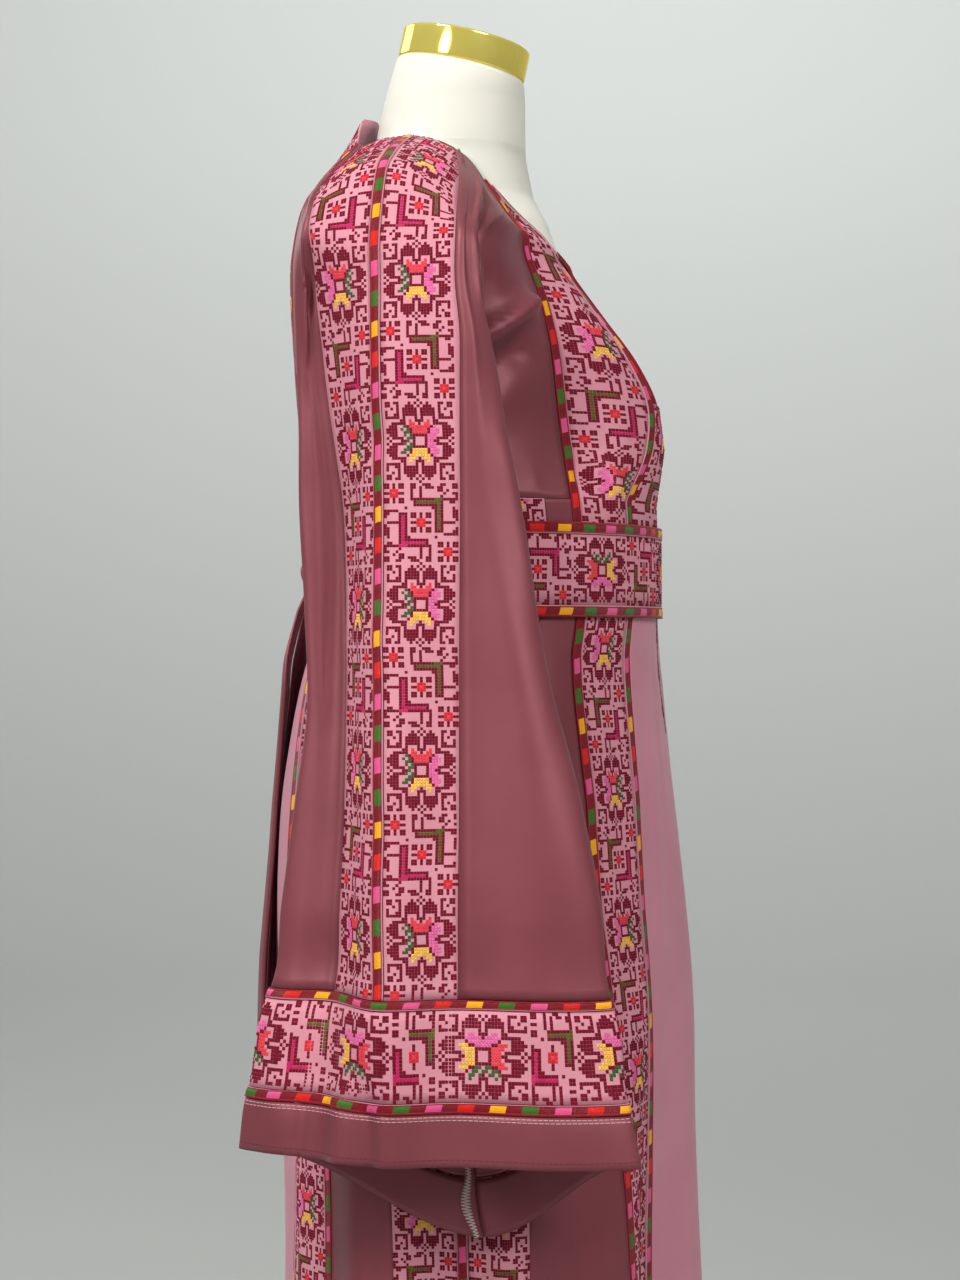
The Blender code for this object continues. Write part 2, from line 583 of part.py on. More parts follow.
def plain_piece(name, body, sleeve, body_columns, sleeve_columns, flip):
    """A satin piece cut in one with its half of the sleeve, slit below the arm."""
    shared = len(FRONT)
    last_sleeve = CUFF_ROWS[0] + 1
    body_points, body_facing = body
    sleeve_points, sleeve_facing = sleeve
    sleeve_points, sleeve_facing = sleeve_points[:last_sleeve], sleeve_facing[:last_sleeve]
    points = np.concatenate([body_points.reshape(-1, 3), sleeve_points.reshape(-1, 3)])
    facing = np.concatenate([body_facing.reshape(-1, 3), sleeve_facing.reshape(-1, 3)])
    offset = body_points.shape[0] * body_columns
    faces = np.vstack([quads_of(body_points.shape[0], body_columns),
                       quads_of(last_sleeve, sleeve_columns, offset)])
    for row in range(shared):
        if flip:
            body_corner = row * body_columns
            sleeve_corner = offset + row * sleeve_columns + sleeve_columns - 1
        else:
            body_corner = row * body_columns + body_columns - 1
            sleeve_corner = offset + row * sleeve_columns
        faces[faces == body_corner] = sleeve_corner
    used = np.unique(faces)
    renumber = np.zeros(len(points), int)
    renumber[used] = np.arange(len(used))
    add_pair(name, points[used], facing[used], renumber[faces], "satin")


def sampled(region, first, last, per_span, first_gap, last_gap):
    """Section samples of a region from point first to point last, edges drawn in by gaps."""
    grid, normals = region
    numbers = np.arange(first * PER_SPAN, last * PER_SPAN + 1, PER_SPAN // per_span)
    points, facing = grid[:, numbers].copy(), normals[:, numbers].copy()
    if first_gap:
        inward = points[:, 1] - points[:, 0]
        points[:, 0] += SEAM * inward / np.linalg.norm(inward, axis=1, keepdims=True)
    if last_gap:
        inward = points[:, -2] - points[:, -1]
        points[:, -1] += SEAM * inward / np.linalg.norm(inward, axis=1, keepdims=True)
    return points, facing


def plain_pieces(found):
    """The satin front and back pieces of each side."""
    per_span = 2
    front = sampled(found["front"], SEAM_U, PIT_U, per_span, True, True)
    sleeve = sampled(found["sleeve"], 0, STRIP_FRONT_U - PIT_U, per_span, True, True)
    plain_piece("front_piece", front, sleeve, front[0].shape[1], sleeve[0].shape[1], False)
    back = sampled(found["back"], 0, BACK_SEAM_U - BACK_PIT_U, per_span, True, True)
    sleeve = sampled(found["sleeve"], STRIP_BACK_U - PIT_U, BACK_PIT_U - PIT_U, per_span, True, True)
    plain_piece("back_piece", back, sleeve, back[0].shape[1], sleeve[0].shape[1], True)


def sleeve_strips(found):
    """The two stitched strips and the braid between them, from the neck to the cuff."""
    sleeve = found["sleeve"]
    rows = slice(0, CUFF_ROWS[0] + 1)
    ridge = (RIDGE_U - PIT_U) * PER_SPAN
    front_edge, back_edge = at(STRIP_FRONT_U - PIT_U), at(STRIP_BACK_U - PIT_U)
    add_strip("sleeve_front_strip", sleeve, front_edge, (ridge, -BRAID / 2), 3, "stitched", rows)
    add_strip("sleeve_braid", sleeve, (ridge, -BRAID / 2), (ridge, BRAID / 2), 1, "braid", rows,
              BRAID_RAISE)
    add_strip("sleeve_back_strip", sleeve, (ridge, BRAID / 2), back_edge, 3, "stitched", rows)


def cuffs(found):
    """The rings of the cuff: braid, stitched band, braid and plain hem."""
    grid, normals = found["sleeve"]
    step = PER_SPAN // 2
    names = (("cuff_top_braid", "braid", BRAID_RAISE, 14), ("cuff_band", "stitched", 0.0, 15),
             ("cuff_lower_braid", "braid", BRAID_RAISE, 16), ("cuff_hem", "satin", 0.0, 17))
    drop = np.array([0.0, 0.0, 3 * SEAM])
    for name, finish, raise_by, row in names:
        points = grid[row:row + 2, :-1:step].copy()
        facing = normals[row:row + 2, :-1:step]
        points[0] -= drop
        add_pair(name, points, facing, close_columns(*points.shape[:2]), finish, raise_by)


def skirt_ring(height, samples=721):
    """One section of the skirt, from the front centre round the right side to the back centre."""
    skirt = table(SKIRT_COLUMNS, SKIRT)
    half, front, rear, flute = (at_height(skirt, name, height) for name in SKIRT_COLUMNS[1:])
    middle, depth = (rear - front) / 2, (rear + front) / 2
    turn = np.linspace(0, math.pi, samples)
    wave = sum(share * np.cos(count * turn) for count, share in FLUTES) * flute
    out = (half + wave) * np.sin(turn)
    y = middle - (depth + wave) * np.cos(turn)
    return np.column_stack([-out, y, np.full(samples, height)])


def skirt_edges(height, length):
    """Lengths along half of a skirt section at which one piece ends and the next starts."""
    plain = table(PLAIN_COLUMNS, PLAIN)
    fixed = 5 * BRAID + 4 * STRIP
    rest = length - fixed
    shares = [at_height(plain, name, height) for name in PLAIN_COLUMNS[1:]]
    centre_front, side_front, side_back, _ = (share * rest for share in shares)
    widths = (centre_front, BRAID, STRIP, BRAID, side_front, STRIP, BRAID, STRIP, side_back,
              BRAID, STRIP, BRAID)
    return np.concatenate([[0.0], np.cumsum(widths), [length]])


def skirt_pieces():
    """The skirt's panels, strips and braids, from the waist seam to the hem."""
    heights = [row[0] for row in SKIRT]
    grid = np.array([skirt_ring(height) for height in heights])
    normals = outward(grid)
    normals[:, [0, -1], 0] = 0
    normals[0, :, 2] = 0
    normals /= np.linalg.norm(normals, axis=2, keepdims=True)
    edges = np.array([skirt_edges(height, lengths(row)[-1]) for height, row in zip(heights, grid)])
    pieces = (
        (1, "skirt_front_inner_braid", 1), (2, "skirt_front_strip", 3),
        (3, "skirt_front_outer_braid", 1), (4, "skirt_side_front", 5),
        (5, "skirt_side_strip_front", 3), (6, "skirt_side_braid", 1),
        (7, "skirt_side_strip_back", 3), (8, "skirt_side_back", 4),
        (9, "skirt_back_outer_braid", 1), (10, "skirt_back_strip", 3),
        (11, "skirt_back_inner_braid", 1),
    )
    for number, name, columns in pieces:
        first, last = edges[:, number] + SEAM, edges[:, number + 1] - SEAM
        points, facing = pick(grid, normals, np.linspace(first, last, columns + 1, axis=1))
        braid = name.endswith("braid")
        finish = "braid" if braid else "stitched" if "strip" in name else "satin"
        faces = quads_of(*points.shape[:2])
        raise_by = BRAID_RAISE if braid else 0.0
        add_pair(name, points, facing, faces, finish, raise_by, sway=False)
    first, last = edges[:, -2] + SEAM, edges[:, -1]
    add_across("skirt_back_centre", *pick(grid, normals, np.linspace(first, last, 7, axis=1)),
               "pink_cloth")
    last, first = edges[:, 0], edges[:, 1] - SEAM
    points, facing = pick(grid, normals, np.linspace(first, last, 7, axis=1))
    add_across("skirt_front_centre", points, facing, "pink_cloth")


def belt():
    """The stitched belt with a raised braid along each edge, closed round the waist."""
    heights = (BELT_TOP, BELT_TOP - BRAID, BELT_TOP - BRAID, BELT_BOTTOM + BRAID,
               BELT_BOTTOM + BRAID, BELT_BOTTOM)
    raised = (BRAID_RAISE, BRAID_RAISE, 0, 0, BRAID_RAISE, BRAID_RAISE)
    rings_out, rings_in = [], []
    for height, raise_by in zip(heights, raised):
        half = skirt_ring(height, BELT_COLUMNS)
        ring = np.vstack([half[:-1], (half * [-1, 1, 1])[:0:-1]])
        away = np.roll(ring, -1, axis=0) - np.roll(ring, 1, axis=0)
        normal = np.column_stack([away[:, 1], -away[:, 0], 0 * away[:, 0]])
        normal *= np.sign((normal * ring).sum(axis=1))[:, None]
        normal /= np.linalg.norm(normal, axis=1, keepdims=True)
        rings_in.append(ring + BELT_OFF * normal)
        rings_out.append(ring + (BELT_OFF + BELT_WALL + raise_by) * normal)
    for rings in (rings_out, rings_in):
        rings[2][:, 2] -= BELT_STEP
        rings[3][:, 2] += BELT_STEP
    outer, inner = np.array(rings_out), np.array(rings_in)
    faces = close_columns(*outer.shape[:2])
    add("belt", wall_mesh("belt", outer.reshape(-1, 3), inner.reshape(-1, 3), faces), "stitched")


def belt_tie():
    """The knot at the middle of the back and the two satin tails that hang from it."""
    tie = table(TIE_COLUMNS, TIE)
    knot_z = (BELT_TOP + BELT_BOTTOM) / 2
    knot_y = skirt_ring(knot_z, 3)[-1, 1] + BELT_OFF + BELT_WALL + KNOT[1] + KNOT_GAP
    knot = bmesh.new()
    across, up = KNOT_FACETS
    bmesh.ops.create_uvsphere(knot, u_segments=across, v_segments=up, radius=1.0)
    for vertex in knot.verts:
        vertex.co = (vertex.co.x * KNOT[0], vertex.co.y * KNOT[1] + knot_y,
                     vertex.co.z * KNOT[2] + knot_z)
    mesh = bpy.data.meshes.new("belt_tie")
    knot.to_mesh(mesh)
    knot.free()
    piece = add("belt_tie", mesh, "satin")
    for side, length in TIE_LENGTHS.items():
        fall = np.linspace(0, 1, TIE_ROWS)
        height = knot_z - TIE_TOP - length * fall
        width = TIE_WIDTH * (TIE_NECK + (1 - TIE_NECK) * smooth_step(fall, 0, TIE_SPREAD))
        middle_y = at_height(tie, "y", height)
        columns = []
        for share in np.linspace(0, 1, TIE_POINTS):
            out = TIE_APART + share * width
            y = middle_y - TIE_ROUND * out ** 2 - side * TIE_WAVE * np.sin(fall * TIE_WAVES)
            columns.append(np.column_stack([side * out, y, height]))
        grid = np.stack(columns, axis=1)
        outer, inner = grid.reshape(-1, 3), (grid - [0, TIE_WALL, 0]).reshape(-1, 3)
        tail_mesh = wall_mesh("tie_tail", outer, inner, quads_of(*grid.shape[:2]))
        tail = add("tie_tail_cutter", tail_mesh, "satin")
        thobe.objects.unlink(tail)
        cutters.objects.link(tail)
        tail.hide_render = True
        tail.display_type = "WIRE"
        union = piece.modifiers.new("tail", "BOOLEAN")
        union.operation = "UNION"
        union.object = tail


def torso_section(height, turn):
    """One section of the form: the wider of the shoulders or trunk and the neck, by direction."""
    aim_out, aim_y = np.cos(turn), np.sin(turn)
    neck = table(NECK_COLUMNS, NECK)
    half, front, back = (at_height(neck, name, height) for name in NECK_COLUMNS[1:])
    middle, depth = (back - front) / 2, (back + front) / 2
    reach = np.linspace(0, FORM_REACH, REACH_STEPS)[:, None]
    out, y = np.abs(reach * aim_out), FORM_AXIS_Y + reach * aim_y
    inside = (out / half) ** 2 + ((y - middle) / depth) ** 2 <= 1
    inside &= height > NECK[0][0] - NECK_ROOT
    if height > TORSO[-1][0]:
        ease = smooth_step(height, *FORM_EASE)
        wider = out * (FORM_WIDER[0] + FORM_WIDER[1] * ease)
        deeper = SHOULDER_Y + (y - SHOULDER_Y) * (FORM_DEEPER[0] + FORM_DEEPER[1] * ease)
        shoulder = shoulder_height(wider, deeper) >= height
        inside |= shoulder & (wider <= SHOULDER_LINE[-1][0])
    else:
        torso = table(TORSO_COLUMNS, TORSO)
        half, front, back, square = (at_height(torso, name, height) for name in TORSO_COLUMNS[1:])
        middle, depth = (back - front) / 2, (back + front) / 2
        inside |= (out / half) ** square + (np.abs(y - middle) / depth) ** square <= 1
    last = len(reach) - 1 - np.argmax(inside[::-1], axis=0)
    far = reach[last, 0]
    y = FORM_AXIS_Y + far * aim_y
    return np.column_stack([far * aim_out, y, np.full(len(turn), height)])


def dress_form():
    """The limbless form: linen-covered body and neck, brass cap, and a pole on a round foot."""
    turn = np.arange(FORM_COLUMNS) * math.tau / FORM_COLUMNS
    heights = [row[0] for row in TORSO] + [*SHOULDER_RINGS, *NECK_RINGS]
    rings = [torso_section(height, turn) for height in heights]
    cap_y, cap_z = CAP_MIDDLE
    lean, rise = math.sin(CAP_TILT), math.cos(CAP_TILT)
    for wider, below in NECK_TOP:
        radius = CAP_RADIUS + wider
        down = CAP_HEIGHT / 2 + below
        y = cap_y + lean * down + radius * np.sin(turn) * rise
        z = cap_z - rise * down + radius * np.sin(turn) * lean
        rings.append(np.column_stack([radius * np.cos(turn), y, z]))
    points = np.vstack(rings)
    faces = [tuple(face) for face in close_columns(len(rings), len(turn)).tolist()]
    count = len(points)
    first, last = tuple(range(len(turn))), tuple(range(count - len(turn), count))
    mesh = bpy.data.meshes.new("form_body")
    mesh.from_pydata(points.tolist(), [], faces + [first, last[::-1]])
    add("form_body", mesh, "form_linen")

    cap = bmesh.new()
    bmesh.ops.create_cone(cap, cap_ends=True, segments=FORM_COLUMNS, radius1=CAP_RADIUS,
                          radius2=CAP_RADIUS, depth=CAP_HEIGHT)
    mesh = bpy.data.meshes.new("form_cap")
    cap.to_mesh(mesh)
    cap.free()
    piece = add("form_cap", mesh, "gold")
    piece.location = (0, cap_y, cap_z)
    piece.rotation_euler = (CAP_TILT, 0, 0)
    edge = piece.modifiers.new("rounded edge", "BEVEL")
    edge.width = CAP_EDGE
    edge.segments = 2
    edge.limit_method = "ANGLE"
    edge.angle_limit = math.radians(60)

    top = TORSO[0][0] - POLE_GAP
    rim = [(FOOT_RADIUS + inward, height) for inward, height in FOOT_RIM]
    collar = [(POLE_RADIUS + outward_by, height) for outward_by, height in COLLAR]
    foot = [(0.0, 0.0), *rim, *collar, (POLE_RADIUS, top), (0.0, top)]
    mesh = bpy.data.meshes.new("form_stand")
    vertices = [(radius, 0, height) for radius, height in reversed(foot)]
    mesh.from_pydata(vertices, [(k, k + 1) for k in range(len(vertices) - 1)], [])
    mesh.materials.append(material("gold"))
    stand = bpy.data.objects.new("form_stand", mesh)
    thobe.objects.link(stand)
    screw = stand.modifiers.new("turned", "SCREW")
    screw.steps = screw.render_steps = FORM_COLUMNS
    screw.use_merge_vertices = True
    screw.merge_threshold = 0.0001
    screw.use_smooth_shade = True


for old in list(bpy.data.objects):
    bpy.data.objects.remove(old, do_unlink=True)
thobe = bpy.data.collections.new("palestinian_thobe_on_dress_form")
cutters = bpy.data.collections.new("cutters")
for made in (thobe, cutters):
    bpy.context.scene.collection.children.link(made)

upper = regions()
upper_front_and_back(upper)
front_insert(upper["front"])
plain_pieces(upper)
sleeve_strips(upper)
cuffs(upper)
skirt_pieces()
belt()
belt_tie()
dress_form()
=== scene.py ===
"""A long embroidered Palestinian thobe, worn by a limbless dress form on a stand.

Metres, +Z up. The front faces -Y and the wearer's right is -X. Every piece is worked out from
the cut's own section tables, and laid out side by side as a maker would sew them together.
"""

import math

import bmesh
import bpy
import numpy as np
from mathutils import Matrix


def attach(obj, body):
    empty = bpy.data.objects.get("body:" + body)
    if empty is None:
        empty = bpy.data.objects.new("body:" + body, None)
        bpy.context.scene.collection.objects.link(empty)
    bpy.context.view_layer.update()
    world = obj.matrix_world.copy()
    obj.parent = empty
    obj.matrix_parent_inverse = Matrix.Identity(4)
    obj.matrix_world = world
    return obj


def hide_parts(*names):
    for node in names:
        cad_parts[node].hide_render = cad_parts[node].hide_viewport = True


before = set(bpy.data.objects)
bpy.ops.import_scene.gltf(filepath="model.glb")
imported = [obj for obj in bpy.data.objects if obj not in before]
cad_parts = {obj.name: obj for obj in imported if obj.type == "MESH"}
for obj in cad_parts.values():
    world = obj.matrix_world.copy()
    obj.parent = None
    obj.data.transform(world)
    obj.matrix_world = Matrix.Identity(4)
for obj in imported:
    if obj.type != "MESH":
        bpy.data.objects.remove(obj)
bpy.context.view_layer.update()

# --- Studio: a pale bowl, soft light, the camera ----------------------------------------------
# A matt off-white floor that curves up all round, its colour darkened towards the bottom as a
# painted shade. Soft windows light the dress from high on its right, before and behind it. The camera is
# level with the waist, 1.9 m away.
CAMERA_AWAY, CAMERA_YAW, CAMERA_HEIGHT, CAMERA_LENS = 1.92, math.radians(10), 1.05, 67.5
WELD = 0.00002          # points closer than this are made one
AXIS_RIGHT_OF_MIDDLE = 10 / 1280        # of the dress, in heights of the frame
LIGHTS = (              # name, place, aim, size, power, tint
    ("front_window", (-2.4, -2.1, 3.2), (0, 0, 1.15), 1.5, 78, (1.0, 0.985, 0.96)),
    ("side_window", (-2.1, 1.3, 3.7), (-0.1, 0, 1.1), 1.2, 104, (1.0, 0.99, 0.97)),
    ("side_glint", (-2.6, 1.1, 2.2), (0, 0, 1.4), 0.9, 15, (1.0, 0.99, 0.97)),
    ("back_glow", (1.6, 2.8, 2.6), (0, 0, 1.1), 1.8, 26, (1.0, 1.0, 1.0)),
    ("backdrop_glow", (4.2, 0.4, 4.6), (8.0, 1.0, 2.6), 2.0, 86, (0.97, 1.0, 1.0)),
)


def colour_of(code):
    """A linear colour from a six-figure sRGB code."""
    share = np.array([int(code[k:k + 2], 16) / 255 for k in (0, 2, 4)])
    linear = np.where(share > 0.04045, ((share + 0.055) / 1.055) ** 2.4, share / 12.92)
    return (*linear.tolist(), 1.0)


def new_material(name, colour, roughness, metallic=0.0, **constant):
    """A material, its node tree and its Principled shader, with constant sockets set directly."""
    made = bpy.data.materials.new(name)
    made.use_nodes = True
    shader = made.node_tree.nodes["Principled BSDF"]
    shader.inputs["Base Color"].default_value = colour_of(colour)
    shader.inputs["Roughness"].default_value = roughness
    shader.inputs["Metallic"].default_value = metallic
    for socket, value in constant.items():
        shader.inputs[socket.replace("_", " ")].default_value = value
    return made, made.node_tree, shader


def add_node(tree, kind, given=(), **settings):
    """The outputs of a new node, whose inputs are linked to sockets or set to values."""
    node = tree.nodes.new("ShaderNode" + kind)
    for name, value in settings.items():
        setattr(node, name, value)
    for name, value in dict(given).items():
        if isinstance(value, bpy.types.NodeSocket):
            tree.links.new(value, node.inputs[name])
        else:
            node.inputs[name].default_value = value
    return node.outputs


def add_mix(tree, factor, first, second, **settings):
    """A mix of two colours or sockets."""
    given = {"Factor": factor, "A": first, "B": second}
    return add_node(tree, "Mix", given, data_type="RGBA", **settings)["Result"]


def grid_faces(rows, columns, turned=False):
    """Quads of a grid numbered row by row. Turned winds them the other way round."""
    corner = np.arange((rows - 1) * columns).reshape(rows - 1, columns)[:, :-1].ravel()
    quads = np.column_stack([corner, corner + columns, corner + columns + 1, corner + 1])
    return quads if turned else quads[:, ::-1]


def turned_shape(profile, count=97):
    """A profile of (radius, height), bottom to top, turned about the upright axis."""
    radius, height = np.array(profile).T[:, :, None]
    turn = np.linspace(0, math.tau, count)[None]
    return np.stack([radius * np.cos(turn), radius * np.sin(turn), height + 0 * turn], axis=-1)


def new_object(name, points, faces, finish, uv=None, paint=None, weld=False):
    """A smooth mesh object: points, faces, a UV for each point, a colour for each face."""
    mesh = bpy.data.meshes.new(name)
    points = np.ascontiguousarray(points.reshape(-1, 3), dtype=np.float32)
    mesh.vertices.add(len(points))
    mesh.vertices.foreach_set("co", points.ravel())
    mesh.loops.add(faces.size)
    mesh.loops.foreach_set("vertex_index", np.ascontiguousarray(faces, np.int32).ravel())
    mesh.polygons.add(len(faces))
    mesh.polygons.foreach_set("loop_start", np.arange(0, faces.size, faces.shape[1], dtype=np.int32))
    mesh.update(calc_edges=True)
    if uv is not None:
        corners = uv.reshape(-1, 2)[faces.ravel()].astype(np.float32)
        mesh.uv_layers.new(name="cloth").uv.foreach_set("vector", corners.ravel())
    if paint is not None:
        corners = np.repeat(paint, faces.shape[1], axis=0).astype(np.float32)
        layer = mesh.color_attributes.new("thread", "FLOAT_COLOR", "CORNER")
        layer.data.foreach_set("color", corners.ravel())
    if weld:
        work = bmesh.new()
        work.from_mesh(mesh)
        bmesh.ops.remove_doubles(work, verts=work.verts, dist=WELD)
        work.to_mesh(mesh)
        work.free()
    mesh.shade_smooth()
    mesh.materials.append(finish)
    made = bpy.data.objects.new(name, mesh)
    bpy.context.scene.collection.objects.link(made)
    return made


def studio():
    """Bowl (profile: flat to 5.5 m, quarter round of 2.5 m, upright to 6 m), lights and camera. The bowl's
    colour carries a painted shade: darker low down, paler higher up.
    """
    pale, tree, shader = new_material("studio_pale", "d9dad8", 0.9)
    # painted shade: the bowl's colour runs from grey at the floor to pale high on the wall
    height = add_node(tree, "SeparateXYZ", {0: add_node(tree, "TexCoord")["Object"]})["Z"]
    painted_shade_factor = add_node(tree, "MapRange", {"Value": height, "From Min": -0.5, "From Max": 3.2},
                    interpolation_type="SMOOTHSTEP")["Result"]
    tree.links.new(add_mix(tree, painted_shade_factor, colour_of("b6b7b4"), colour_of("dfe1df")),
                   shader.inputs["Base Color"])
    bend = np.linspace(0, math.pi / 2, 13)
    bowl = turned_shape([(0.0001, 0), (3, 0), *zip(5.5 + 2.5 * np.sin(bend), 2.5 - 2.5 * np.cos(bend)),
                         (8, 6)], 65)
    new_object("studio_floor", bowl, grid_faces(*bowl.shape[:2], True), pale, weld=True)
    scene = bpy.context.scene
    scene.world = bpy.data.worlds.new("soft_sky")
    scene.world.use_nodes = True
    sky = scene.world.node_tree.nodes["Background"].inputs
    sky["Color"].default_value, sky["Strength"].default_value = (0.98, 0.99, 1.0, 1), 0.42
    for name, place, aim, size, power, tint in LIGHTS:
        light = bpy.data.lights.new(name, "AREA")
        light.shape, light.size, light.energy, light.color = "DISK", size, power, tint
        lamp = bpy.data.objects.new(name, light)
        scene.collection.objects.link(lamp)
        lamp.location, lamp.visible_camera = place, False
        way = np.array(aim) - np.array(place)
        lamp.rotation_euler = (math.atan2(math.hypot(way[0], way[1]), -way[2]), 0,
                               math.atan2(-way[0], way[1]))
    camera = bpy.data.cameras.new("camera")
    camera.lens, camera.sensor_width, camera.shift_x = CAMERA_LENS, 36, -AXIS_RIGHT_OF_MIDDLE
    eye = bpy.data.objects.new("camera", camera)
    scene.collection.objects.link(eye)
    eye.location = (-CAMERA_AWAY * math.cos(CAMERA_YAW), -CAMERA_AWAY * math.sin(CAMERA_YAW),
                    CAMERA_HEIGHT)
    eye.rotation_euler = (math.pi / 2, 0, CAMERA_YAW - math.pi / 2)
    scene.camera = eye
    scene.view_settings.view_transform = "Standard"


studio()


# --- Upper garment: its section tables --------------------------------------------------------
# The shoulders, sleeves and bodice are one lofted surface. Each section's points run from the
# neck edge round the bodice, into the crease under the arm, out round the sleeve and back.
CLOTH, SEAM, BRAID, BRAID_RAISE = 0.0016, 0.00015, 0.009, 0.0006
SHOULDER_LINE = (
    (0.000, 1.4450), (0.055, 1.4420), (0.075, 1.4370), (0.110, 1.4250),
    (0.145, 1.4100), (0.175, 1.3900), (0.188, 1.3740), (0.192, 1.3600),
)
SHOULDER_Y = 0.050      # the shoulder line runs this far behind the axis
CHEST_ROUND = 8.0       # drop of the shoulders to the front and the back, per metre squared
BACK_ROUND = 85.0       # drop of the upper back, per metre cubed
NAPE_RISE = 0.027       # the cloth stands up this much along the nape
NECK_DIP = 0.0115       # the front neckline sinks this much where it leaves the shoulders
LEFT_SWAY = 0.020       # the left sleeve hangs this much further back at the cuff
DRESS_OFF = 0.0030      # outer face of the dress above the form's shoulders

# Upper garment, front: rows from the neck down, in millimetres. Each row is its height (None: on
# the shoulders), then out and y of each point from the neck edge round the bodice, into the
# crease under the arm, and out round the sleeve to its front strip:
# edge, breast, seam, chest, flank, pit, fold, dip, nose, cheek, strip_front.
FRONT = (
    (None, 71, -15.5, 77, -13, 83, -10, 82.5, -7, 82, -4, 81.5, -1, 81, 2, 80.3, 5, 79.6, 8, 78.8, 11,
     78, 13.6),
    (None, 52, -32.5, 70, -31, 88, -28, 92, -24.5, 96, -21, 99, -17.5, 102, -14, 104, -10, 106, -6,
     108, .5, 110, 5.5),
    (None, 43, -50.5, 68, -47.5, 92.5, -38.5, 100, -36.5, 109, -33.5, 118, -30, 127, -25.5, 133, -20,
     138, -14.5, 142, -9, 145, -2.5),
    (None, 40, -57.5, 68, -53, 94.5, -41, 108, -39, 122, -36.5, 137, -32.5, 150, -28, 158, -22,
     165, -17.5, 170, -13.5, 174, -6.5),
    (1345, 38, -61.3, 68, -57, 96, -42.5, 117, -39.5, 142, -33, 163, -18.5, 165, -25.5, 176, -15,
     186.5, -20, 191.5, -15.5, 194, -9),
    (1310, 30, -86.8, 66, -78, 97.5, -54.5, 123, -47, 148, -33, 162, -8, 168, -25, 179, -13, 190, -24.5,
     197.5, -18.5, 202, -10),
    (1270, 24, -116, 64, -97.5, 94, -63, 123, -50, 149, -29, 160, 6, 171, -24, 180, -21, 190.5, -33.5,
     202, -26, 207, -14.5),
    (1235, 18, -132.5, 60, -107, 89, -66.5, 121, -50.5, 146.5, -25, 159, 18, 172, -21, 182, -33,
     192.5, -41, 204, -30, 209, -15),
    (1200, 27, -133.5, 63, -111, 92, -71, 123, -51, 146, -20, 160, 29.7, 171.5, -14, 182, -38, 195, -47,
     206, -35, 212, -15.5),
)

# Upper garment, back: the same rows, from the sleeve's back strip to the middle of the back:
# strip_back, blade, heel, lining, pit, flank, side, seam, mid, edge, centre.
BACK = (
    (78, 86, 77.5, 86.8, 77, 87.5, 76, 88.3, 75, 89.2, 73, 90.3, 71.5, 91.5, 70, 92.5, 54, 95.5, 38, 96.5,
     0, 93.4),
    (110, 96, 108, 96.8, 106, 97.6, 104, 98.5, 101, 99.5, 98, 100.5, 94, 101.8, 90, 103, 68, 109, 43, 114,
     0, 117),
    (145, 101, 142, 102, 138, 103.2, 133, 104.6, 127, 106.2, 120, 108, 112, 111, 103, 113.5, 75, 121.5,
     46, 127.5, 0, 131.5),
    (174, 101, 170, 103.5, 164, 106, 157, 108.5, 149, 111, 139, 113.5, 123, 118, 107, 122, 77, 130,
     47, 134.5, 0, 138),
    (188, 102, 183, 108, 173, 114.5, 166, 115, 159, 112, 148, 118, 130, 126.5, 110, 133, 80, 142.5,
     48, 147.5, 0, 150),
    (180, 99.5, 179, 109, 172, 117, 163.5, 112, 154, 98, 143.5, 116.5, 128, 126.5, 110, 133.5, 80, 143,
     48, 148.5, 0, 151),
    (174, 95.5, 176.5, 107, 171, 115.5, 163.5, 106, 154.5, 82, 145, 110, 130, 123.5, 110, 131.5, 80, 141,
     48, 147, 0, 149.5),
    (172, 92, 176.5, 105.5, 171, 114, 165, 98, 157.5, 58, 147, 100, 132, 118.5, 110, 128.5, 80, 139,
     48, 145.5, 0, 148),
    (173, 87, 177.5, 103, 172, 112, 166.5, 90, 160, 30.3, 148, 85, 133, 110, 110, 124, 80, 135, 48, 142,
     0, 144),
)
# The ridge of the shoulder and the sleeve, between the two: out and y in each row.
RIDGE = ((76, 50), (110, 50), (146, 50), (176, 50), (197, 50), (203, 48.5), (208, 47), (212, 45.5),
         (215, 44))

# The sleeve below the arm: one closed section a row, from the under-seam round the front:
# height, then out and y of seam, inner, fore, nose, cheek, strip_front, ridge, strip_back, blade,
# heel, lining.
SLEEVE = (
    (1155, 168, 26, 172, -12, 182, -43, 197, -55, 210, -40, 215, -16.5, 220, 42, 174, 79.7, 179, 100,
     174, 110, 169, 78),
    (1080, 170, 20, 174, -26, 187, -57, 206, -68.7, 219, -50, 222, -17.4, 232, 39.6, 183, 74.5, 186, 94,
     180, 103, 173, 70),
    (1000, 180.5, 11, 184, -40, 198, -74, 217, -86.5, 231, -62, 232, -19, 246, 36.5, 198, 71, 199, 90,
     192, 98.5, 184, 64),
    (930, 190.5, 1, 194, -50, 209, -88, 228, -102, 243, -70, 243, -21, 259, 34, 213, 69, 213, 95,
     204, 105, 194, 64),
    (860, 198.5, -9, 202, -60, 218, -100, 237, -118, 254, -80, 253, -22, 270, 32, 226, 69, 225, 101,
     214, 112, 203, 64),
    (801.5, 204.5, -17, 209, -70, 224, -108, 243, -126.6, 260, -85, 260, -23, 277, 30, 236, 70.5,
     233, 106, 221, 118, 210, 64),
    (794.5, 206, -18, 210, -71, 225, -110, 244, -129, 261, -86, 262, -23, 279, 30, 240, 71.5, 236, 108,
     222, 121, 211, 65),
    (732, 212.5, -27, 217, -81, 231, -122, 250, -141.5, 268, -90, 269, -24, 284, 29, 252, 76, 244, 115,
     229, 132, 217, 67),
    (724.2, 213.5, -28, 218, -83, 233, -124, 252, -143.5, 270, -91, 270, -24, 285, 29, 255, 77, 246, 116,
     230, 134, 218, 67),
    (688, 216.5, -34, 221, -89, 237, -129, 257, -149.6, 274, -94, 273, -24, 287, 28, 262, 80, 250, 119,
     234, 138, 221, 69),
)
